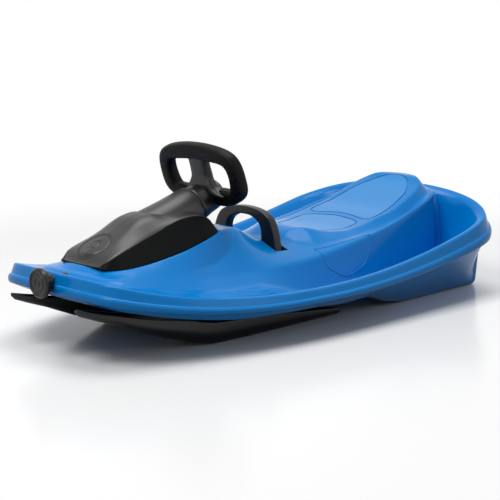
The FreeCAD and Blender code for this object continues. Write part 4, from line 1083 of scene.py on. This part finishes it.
@dataclass
class Console:
    """Cover in front of the driver."""

    form: ShellForm
    height: float = 240.0
    wall: float = 3.0
    places: int = 260
    foot_inset: float = 1.0
    foot_gap: float = 0.3
    badge_depth: float = 1.4
    badge_ease: float = 0.9
    ridge_widths: Stations = ((436, 26), (400, 32), (200, 32), (168, 28))
    ridge_heights: Stations = (
        (436, -59), (415, -48), (371, -26), (326, -4), (300, 0), (276, -2), (222, 0), (184, -9), (168, -20),
    )
    crease_widths: Stations = ((447, 50), (428, 65), (379, 62), (331, 60), (218, 60), (174, 57), (158, 50))
    crease_heights: Stations = (
        (447, -75), (428, -62), (379, -46), (331, -32), (283, -17), (250, -9), (218, -7), (191, -12),
        (174, -20), (158, -34),
    )

    def line(self, nose: float, tail: float, widths: Stations, heights: Stations) -> np.ndarray:
        """Line round the cover, with heights counted from the cover's top."""
        x = spread(nose, tail, self.places)
        return np.stack([x, blunt_width(x, nose, tail, widths), self.height + through(x, heights)], -1)

    def build(self, palette: Palette) -> list[bpy.types.Object]:
        """Cover over its ridge, crease and foot, with ring grooves pressed into its nose."""
        ridge = self.line(437, 166, self.ridge_widths, self.ridge_heights)
        crease = self.line(447, 158, self.crease_widths, self.crease_heights)
        foot_widths = [(x, y - self.foot_inset) for x, y in TOP_WIDTHS]
        foot = self.line(455, 150, foot_widths, self.crease_heights)
        foot[:, 2] = self.form.top(foot[:, 0], foot[:, 1]) + self.foot_gap
        centre = ridge * np.array([1, 0, 1]) + np.array([0, 0, 2])
        half = rounded(np.stack([centre, ridge, crease, foot]), (0, 26, 7, 0), (14, 14, 16), 16)
        points = both_halves(half)
        pressed = self.ring_share(points) * self.badge_depth
        down = -np.array([math.sin(BADGE_SLOPE), 0, math.cos(BADGE_SLOPE)])
        cover = add_piece("console_shell", points + pressed[..., None] * down)
        palette.dress(cover, CHARCOAL, Body.HULL, Slot.CONSOLE, "console_cover")
        # the near-black sides under the crease are painted shade
        self.paint_side_shade(cover, palette)
        thicken(cover, self.wall)
        return [cover]

    def ring_share(self, points: np.ndarray) -> np.ndarray:
        """1 inside the ring grooves and 0 outside, by distance along the slope from the badge's middle."""
        along = (points[..., 0] - BADGE_PLACE) / math.cos(BADGE_SLOPE)
        away = np.hypot(along, points[..., 1])
        soft = self.badge_ease
        share = 0 * away
        for inner, outer in BADGE_RINGS:
            share += ease(inner - soft, inner + soft, away) * ease(outer + soft, outer - soft, away)
        return share * (points[..., 2] > self.height - 90)

    def paint_side_shade(self, cover: bpy.types.Object, palette: Palette) -> None:
        """Give the side panels under the crease the dull finish, whose near-black colour is painted shade."""
        centres = face_centres(cover)
        crease = self.height + through(centres[:, 0], self.crease_heights)
        # faces under the crease take the darker colour: painted shade
        dark = centres[:, 2] < crease - 1.2
        cover.data.materials.append(palette.of(SIDE_PANEL_PAINTED_SHADE))
        cover.data.polygons.foreach_set("material_index", dark.astype(np.int32))


# Steering


@dataclass(frozen=True)
class Column:
    """Axis of the steering column; along runs to the driver, up lies in the wheel's plane."""

    hub: tuple[float, float, float] = (124.0, 0.0, 254.0)
    tilt: float = math.radians(18.5)

    def at(self, up: np.ndarray, left: np.ndarray, along: np.ndarray) -> np.ndarray:
        """Points in the sled's frame."""
        back = np.array([-math.cos(self.tilt), 0, math.sin(self.tilt)])
        rise = np.array([math.sin(self.tilt), 0, math.cos(self.tilt)])
        side = np.array([0, 1, 0])
        up, left, along = np.broadcast_arrays(up, left, along)
        return np.array(self.hub) + along[..., None] * back + up[..., None] * rise + left[..., None] * side


@dataclass
class Neck:
    """Flared neck between the console and the wheel."""

    column: Column
    corners: Stations = (
        (-51, 12), (-51, 39), (-54, 41), (-75, 41), (-110, 41.5), (-140, 43), (-170, 45), (-205, 46),
        (-205, 12),
    )
    easing: float = 3.0
    sides: int = 72

    def build(self, palette: Palette) -> list[bpy.types.Object]:
        """Turned trumpet round the shaft's bore."""
        rings = turned(soft_profile(self.corners, self.easing), self.sides)
        points = self.column.at(rings[..., 1], rings[..., 2], rings[..., 0])
        neck = add_piece("neck_shell", points, ring=True, loop=True)
        return [palette.dress(neck, CHARCOAL, Body.HULL, Slot.CONSOLE, "column_neck")]


@dataclass
class Wheel:
    """Steering wheel with a flat oval rim, a middle spoke and a boss."""

    column: Column
    side: float = 98.0
    top: float = 98.2
    bottom: float = 4.0
    tube_width: float = 32.0
    tube_depth: float = 27.0
    boss_corners: Stations = ((-48, 0), (-48, 35), (-44, 37), (-18, 33), (9, 31), (14, 27), (14, 0))
    boss_easing: float = 4.0
    spoke_widths: Stations = (
        (2, 76), (9, 66), (15, 52), (27, 35), (45, 26), (70, 25), (88, 27), (98, 32),
    )
    spoke_reaches: Stations = ((2, 11), (15, 15), (30, 14), (50, 9.5), (98, 8.5))
    spoke_shifts: Stations = ((2, 0), (15, -6), (30, -6), (50, -1), (98, 0))
    section: int = 28
    steps: int = 70

    def rim(self) -> np.ndarray:
        """Rim: for each turn round the tube, a line round the wheel, offset by the tube's oval."""
        turn = np.linspace(0, 2 * math.pi, self.section, endpoint=False)
        grow = self.tube_width / 2 * flattened(np.cos(turn), 0.62)
        lift = self.tube_depth / 2 * flattened(np.sin(turn), 0.62)
        span = self.top - self.bottom
        flat = 0 * grow
        knots = np.array([
            [self.top + grow, flat, lift],
            [self.top - 0.035 * span + grow, flat + 0.5 * self.side, lift],
            [self.top - 0.15 * span + 0.7 * grow, 0.88 * self.side + 0.7 * grow, lift],
            [self.bottom + 0.42 * span + flat, self.side + grow, lift],
            [self.bottom + 0.12 * span - 0.5 * grow, 0.93 * self.side + 0.85 * grow, lift],
            [self.bottom - grow, flat + 0.7 * self.side, lift],
            [self.bottom - grow, flat, lift],
        ])
        slope = np.stack([flat, flat + self.side / 2, flat])
        half = spline(knots, (0, 1, 1.8, 2.8, 3.5, 4.1, 5.3), (slope, -slope), self.steps)
        other = half[-2:0:-1] * np.array([1, -1, 1])[:, None]
        return np.concatenate([half, other])

    def build(self, palette: Palette) -> list[bpy.types.Object]:
        """Rim, spoke and boss as one group of pieces."""
        up, left, along = self.rim().transpose(1, 0, 2)
        rim = add_piece("wheel_rim", self.column.at(up, left, along), ring=True, loop=True)
        palette.dress(rim, BLACK_GRIP, Body.STEERING, Slot.GRIP, "steering_wheel")
        self.mark_grip(rim)
        spoke = add_piece("wheel_spoke", self.spoke(), ring=True)
        palette.dress(spoke, BLACK_SATIN, Body.STEERING, Slot.GRIP)
        rings = turned(soft_profile(self.boss_corners, self.boss_easing), 64)
        points = self.column.at(rings[..., 1], rings[..., 2], rings[..., 0])
        boss = add_piece("wheel_boss", points, ring=True)
        palette.dress(boss, BLACK_SATIN, Body.STEERING, Slot.GRIP)
        return [rim, spoke, boss]

    def mark_grip(self, rim: bpy.types.Object) -> None:
        """Mark the rim's face towards the nose, where the grip dots are moulded."""
        count = len(rim.data.vertices)
        facing = np.zeros(count * 3)
        rim.data.vertices.foreach_get("normal", facing)
        nose = np.array([math.cos(self.column.tilt), 0, -math.sin(self.column.tilt)])
        mark = rim.data.attributes.new(GRIP_MARK, "FLOAT", "POINT")
        mark.data.foreach_set("value", ease(0.55, 0.9, facing.reshape(-1, 3) @ nose).astype(np.float32))

    def spoke(self) -> np.ndarray:
        """Spoke and web: an oval section whose half width follows stations down the wheel."""
        up = np.linspace(2, 98, 60)
        half = through(up, self.spoke_widths)
        turn = np.linspace(0, 2 * math.pi, 40, endpoint=False)
        wide = flattened(np.cos(turn), 0.5)
        deep = flattened(np.sin(turn), 0.6)
        reach = through(up, self.spoke_reaches)[:, None]
        shift = through(up, self.spoke_shifts)[:, None]
        return capped(self.column.at(up[:, None] + 0 * turn, half[:, None] * wide, shift + reach * deep))


# Brake lever


@dataclass
class Lever:
    """Arch that the driver pulls, with two broad feet."""

    place: float = 16.0
    thickness: float = 20.0
    outer: Stations = ((93, 100), (93, 136), (81, 187.6), (66, 207.4), (39, 218.1), (0, 222))
    inner: Stations = ((48, 100), (48, 136), (46, 183.3), (34.6, 196.5), (19.2, 203.3), (0, 205))
    params: tuple[float, ...] = (0, 0.6, 1.5, 2.0, 2.5, 3.1)
    boxiness: float = 0.3
    steps: int = 110
    section: int = 36

    def build(self, palette: Palette) -> list[bpy.types.Object]:
        """Section between an outer and an inner arch: a rounded box whose width is their distance."""
        ends = (np.array([0, 60.0]), np.array([-60.0, 0]))
        edges = (np.array(self.outer), np.array(self.inner))
        halves = [spline(edge, self.params, ends, self.steps) for edge in edges]
        whole = [np.concatenate([half, half[-2::-1] * np.array([-1, 1])]) for half in halves]
        middle = (whole[0] + whole[1]) / 2
        reach = (whole[0] - whole[1]) / 2
        turn = np.linspace(0, 2 * math.pi, self.section, endpoint=False)
        wide = flattened(np.cos(turn), self.boxiness)
        deep = flattened(np.sin(turn), self.boxiness)
        across = middle[:, None] + reach[:, None] * wide[:, None]
        along = self.place + self.thickness / 2 * deep + 0 * across[..., 0]
        points = np.concatenate([along[..., None], across], -1)
        lever = add_piece("lever_arch", capped(points), ring=True)
        return [palette.dress(lever, BLACK_GLOSS, Body.BRAKE, Slot.BLACK, "brake_lever")]


# Skis


@dataclass
class Ski:
    """Tray-shaped steered ski with a turned-up tip."""

    name: str
    sign: int
    tip: float = 538.0
    tail: float = -93.0
    rise: float = 96.0
    rocker_start: float = 250.0
    floor: float = 5.0
    wall: float = 5.0
    bevel: float = 8.0
    flat: float = 0.15
    outer_edge: Stations = (
        (538, 108), (500, 119), (400, 134), (300, 149), (200, 160), (100, 163), (-93, 163),
    )
    inner_edge: Stations = ((538, 84), (500, 72), (400, 66), (300, 64), (200, 64), (-93, 66))
    rocker: Stations = (
        (1.0, 1.0), (0.87, 0.85), (0.747, 0.72), (0.52, 0.44), (0.28, 0.2), (0.1, 0.05), (0.0, 0.0),
    )
    wall_heights: Stations = ((538, 11), (465, 19), (400, 30), (288, 44), (130, 36), (-93, 15))
    tip_bluntness: float = 26.0
    places: int = 150

    def line(self, inset: float, side: int, lift: Callable) -> np.ndarray:
        """One line of the tray.

        Args:
            inset: distance drawn in from the ski's outline.
            side: 1 for the outer side, -1 for the inner side.
            lift: height above the sole over x.

        Returns:
            Points from tip to tail.
        """
        x = spread(self.tip - inset, self.tail + inset, self.places)
        outer, inner = through(x, self.outer_edge), through(x, self.inner_edge)
        share = np.clip((x - self.tail - inset) / (self.tip - self.tail - 2 * inset), 0, 1)
        half = ((outer - inner) / 2 - inset) * np.sqrt(1 - share**self.tip_bluntness)
        way = (x - self.rocker_start) / (self.tip - self.rocker_start)
        z = self.flat + self.rise * through(way, self.rocker) + lift(x)
        return np.stack([x, self.sign * ((outer + inner) / 2 + side * half), z], -1)

    def build(self, palette: Palette) -> list[bpy.types.Object]:
        """Closed section along the ski, from its sole round both walls to its floor."""

        def wall_height(x: np.ndarray) -> np.ndarray:
            return through(x, self.wall_heights)

        climb = (
            (self.bevel, lambda x: 0 * x),
            (0, lambda x: 0.45 * wall_height(x)),
            (0, wall_height),
            (self.wall, wall_height),
            (self.wall + self.bevel, lambda x: self.floor + 0 * x),
        )
        lines = [self.line(inset, 1, lift) for inset, lift in climb]
        lines += [self.line(inset, -1, lift) for inset, lift in climb[::-1]]
        radii = (5, 6, 2, 2, 5, 5, 2, 2, 6, 5)
        points = rounded(np.stack(lines), radii, (5, 5, 2, 5, 8, 5, 2, 5, 5, 8), 5, closed=True)
        ski = add_piece(f"{self.name}_tray", capped(points, first=False), ring=True)
        body = Body.RUNNER_LEFT if self.sign > 0 else Body.RUNNER_RIGHT
        return [palette.dress(ski, BLACK_GLOSS, body, Slot.BLACK, self.name)]


# Tow knob


@dataclass
class Knob:
    """Round pull at the nose."""

    height: float = 141.0
    corners: Stations = (
        (536, 0), (536, 25), (539, 28), (545, 28), (548, 25), (548, 22), (546, 21.5), (545.5, 16),
        (547, 15), (547, 10), (545.5, 9), (545.5, 4.5), (547, 4), (547, 0),
    )
    easing: float = 1.2

    def build(self, palette: Palette) -> list[bpy.types.Object]:
        """Turned disc with rings and a small centre."""
        rings = turned(soft_profile(self.corners, self.easing), 72)
        points = np.stack([rings[..., 0], rings[..., 1], self.height + rings[..., 2]], -1)
        knob = add_piece("tow_knob_disc", points, ring=True)
        return [palette.dress(knob, BLACK_GLOSS, Body.TOW, Slot.BLACK, "tow_knob")]


# Studio


@dataclass(frozen=True)
class Lamp:
    """Square soft light: name, place and size in metres, and power in watts."""

    name: str
    place: tuple[float, float, float]
    size: float
    power: float


LAMPS = (
    Lamp("key", (1.5, 0.1, 2.1), 1.1, 30),
    Lamp("overhead", (-0.3, 0.0, 2.6), 1.6, 34),
    Lamp("side", (-0.7, 2.4, 1.3), 1.0, 5),
)


@dataclass
class Studio:
    """White floor, soft lights and the camera of the photo."""

    azimuth: float = math.radians(44.885)
    elevation: float = math.radians(11.12)
    distance: float = 2.913
    target: tuple[float, float, float] = (0.0, 0.0, 0.13)
    lens: float = 101.24
    shift: tuple[float, float] = (-0.00428, -0.00384)
    fade: tuple[float, float] = (0.6, 1.6)
    bounce: str = "9a9a9a"
    surround: tuple[float, float] = (0.25, 1.0)
    floor_reach: float = 30.0

    def camera(self) -> None:
        """Place the camera."""
        ce, se = math.cos(self.elevation), math.sin(self.elevation)
        ca, sa = math.cos(self.azimuth), math.sin(self.azimuth)
        back = Vector((ce * ca, ce * sa, se))
        right = Vector((-sa, ca, 0))
        up = back.cross(right)
        data = bpy.data.cameras.new("camera")
        data.lens = self.lens
        data.sensor_width = 36
        data.shift_x, data.shift_y = self.shift
        data.clip_end = 60
        camera = bpy.data.objects.new("camera", data)
        turn = Matrix((right, up, back)).transposed().to_4x4()
        camera.matrix_world = Matrix.Translation(Vector(self.target) + back * self.distance) @ turn
        bpy.context.scene.collection.objects.link(camera)
        bpy.context.scene.camera = camera

    def light(self, lamp: Lamp) -> None:
        """Hang a lamp so that it faces the sled."""
        data = bpy.data.lights.new(lamp.name, "AREA")
        data.size = lamp.size
        data.energy = lamp.power
        hung = bpy.data.objects.new(lamp.name, data)
        hung.location = lamp.place
        aim = Vector(self.target) - Vector(lamp.place)
        hung.rotation_euler = aim.to_track_quat("-Z", "Y").to_euler()
        bpy.context.scene.collection.objects.link(hung)

    def floor(self) -> None:
        """Wide polished white floor."""
        mesh = bpy.data.meshes.new("floor")
        reach = self.floor_reach
        corners = [(-reach, -reach, 0), (reach, -reach, 0), (reach, reach, 0), (-reach, reach, 0)]
        mesh.from_pydata(corners, [], [(0, 1, 2, 3)])
        floor = bpy.data.objects.new("floor", mesh)
        bpy.context.scene.collection.objects.link(floor)
        floor.data.materials.append(self.floor_material())
        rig.stage(floor)

    def seen(self, tree: bpy.types.NodeTree) -> bpy.types.NodeSocket:
        """1 for camera, glossy and transmission rays, which show the backdrop, and 0 for the others."""
        path = add_node(tree, "ShaderNodeLightPath", {})
        shown = path.outputs["Is Camera Ray"]
        for ray in ("Is Glossy Ray", "Is Transmission Ray"):
            joined = add_node(tree, "ShaderNodeMath", {0: shown, 1: path.outputs[ray]}, operation="MAXIMUM")
            shown = joined.outputs["Value"]
        return shown

    def floor_material(self) -> bpy.types.Material:
        """White acrylic near the sled, which fades to a white backdrop, and throws little light back up."""
        material = bpy.data.materials.new("white_acrylic_floor")
        material.use_nodes = True
        tree = material.node_tree
        tree.nodes.clear()
        place = add_node(tree, "ShaderNodeTexCoord", {})
        away = add_node(tree, "ShaderNodeVectorMath", {0: place.outputs["Object"]}, operation="LENGTH")
        far = add_node(
            tree,
            "ShaderNodeMapRange",
            {"Value": away.outputs["Value"], "From Min": self.fade[0], "From Max": self.fade[1]},
            interpolation_type="SMOOTHSTEP",
        )
        acrylic = add_node(
            tree,
            "ShaderNodeBsdfPrincipled",
            {"Base Color": hex_colour("f8f8f8"), "Roughness": 0.2, "Specular IOR Level": 0.2},
        )
        white = add_node(tree, "ShaderNodeEmission", {"Color": (1, 1, 1, 1), "Strength": 1.0})
        shown = add_node(
            tree,
            "ShaderNodeMixShader",
            {0: far.outputs["Result"], 1: acrylic.outputs["BSDF"], 2: white.outputs["Emission"]},
        )
        dull = add_node(tree, "ShaderNodeBsdfDiffuse", {"Color": hex_colour(self.bounce)})
        mixed = add_node(
            tree,
            "ShaderNodeMixShader",
            {0: self.seen(tree), 1: dull.outputs["BSDF"], 2: shown.outputs["Shader"]},
        )
        add_node(tree, "ShaderNodeOutputMaterial", {"Surface": mixed.outputs["Shader"]})
        return material

    def world(self) -> None:
        """Soft white surround."""
        world = bpy.data.worlds.new("studio")
        bpy.context.scene.world = world
        world.use_nodes = True
        tree = world.node_tree
        tree.nodes.clear()
        strength = add_node(
            tree,
            "ShaderNodeMapRange",
            {"Value": self.seen(tree), "To Min": self.surround[0], "To Max": self.surround[1]},
        )
        white = add_node(
            tree, "ShaderNodeBackground", {"Color": (1, 1, 1, 1), "Strength": strength.outputs["Result"]}
        )
        add_node(tree, "ShaderNodeOutputWorld", {"Surface": white.outputs["Background"]})

    def build(self) -> None:
        """Set up the whole studio."""
        self.camera()
        self.floor()
        self.world()
        for lamp in LAMPS:
            self.light(lamp)
        bpy.context.scene.view_settings.view_transform = "Standard"


def write_size(key: str) -> None:
    sizes = json.loads(SIZE_FILE.read_text()) if key != "packed" else {}
    low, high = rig.bounds()
    sizes[key] = [list(low), list(high)]
    SIZE_FILE.write_text(json.dumps(sizes))
    LOG.info("%s box %s", key, sizes[key])


def main() -> None:
    """Build the sled's visual model and its studio."""
    logging.basicConfig(level=logging.INFO)
    write_size("packed")
    palette = Palette()
    palette.dress_packed()
    form = ShellForm()
    column = Column()
    assemblies = (
        Deck(form),
        TailTub(form),
        Console(form),
        Neck(column),
        Wheel(column),
        Lever(),
        Ski("ski_left", 1),
        Ski("ski_right", -1),
        Knob(),
    )
    for assembly in assemblies:
        for piece in assembly.build(palette):
            LOG.info("%s: %d faces", piece.name, len(piece.data.polygons))
    Studio().build()
    write_size("visual")


if __name__ == "__main__":
    main()
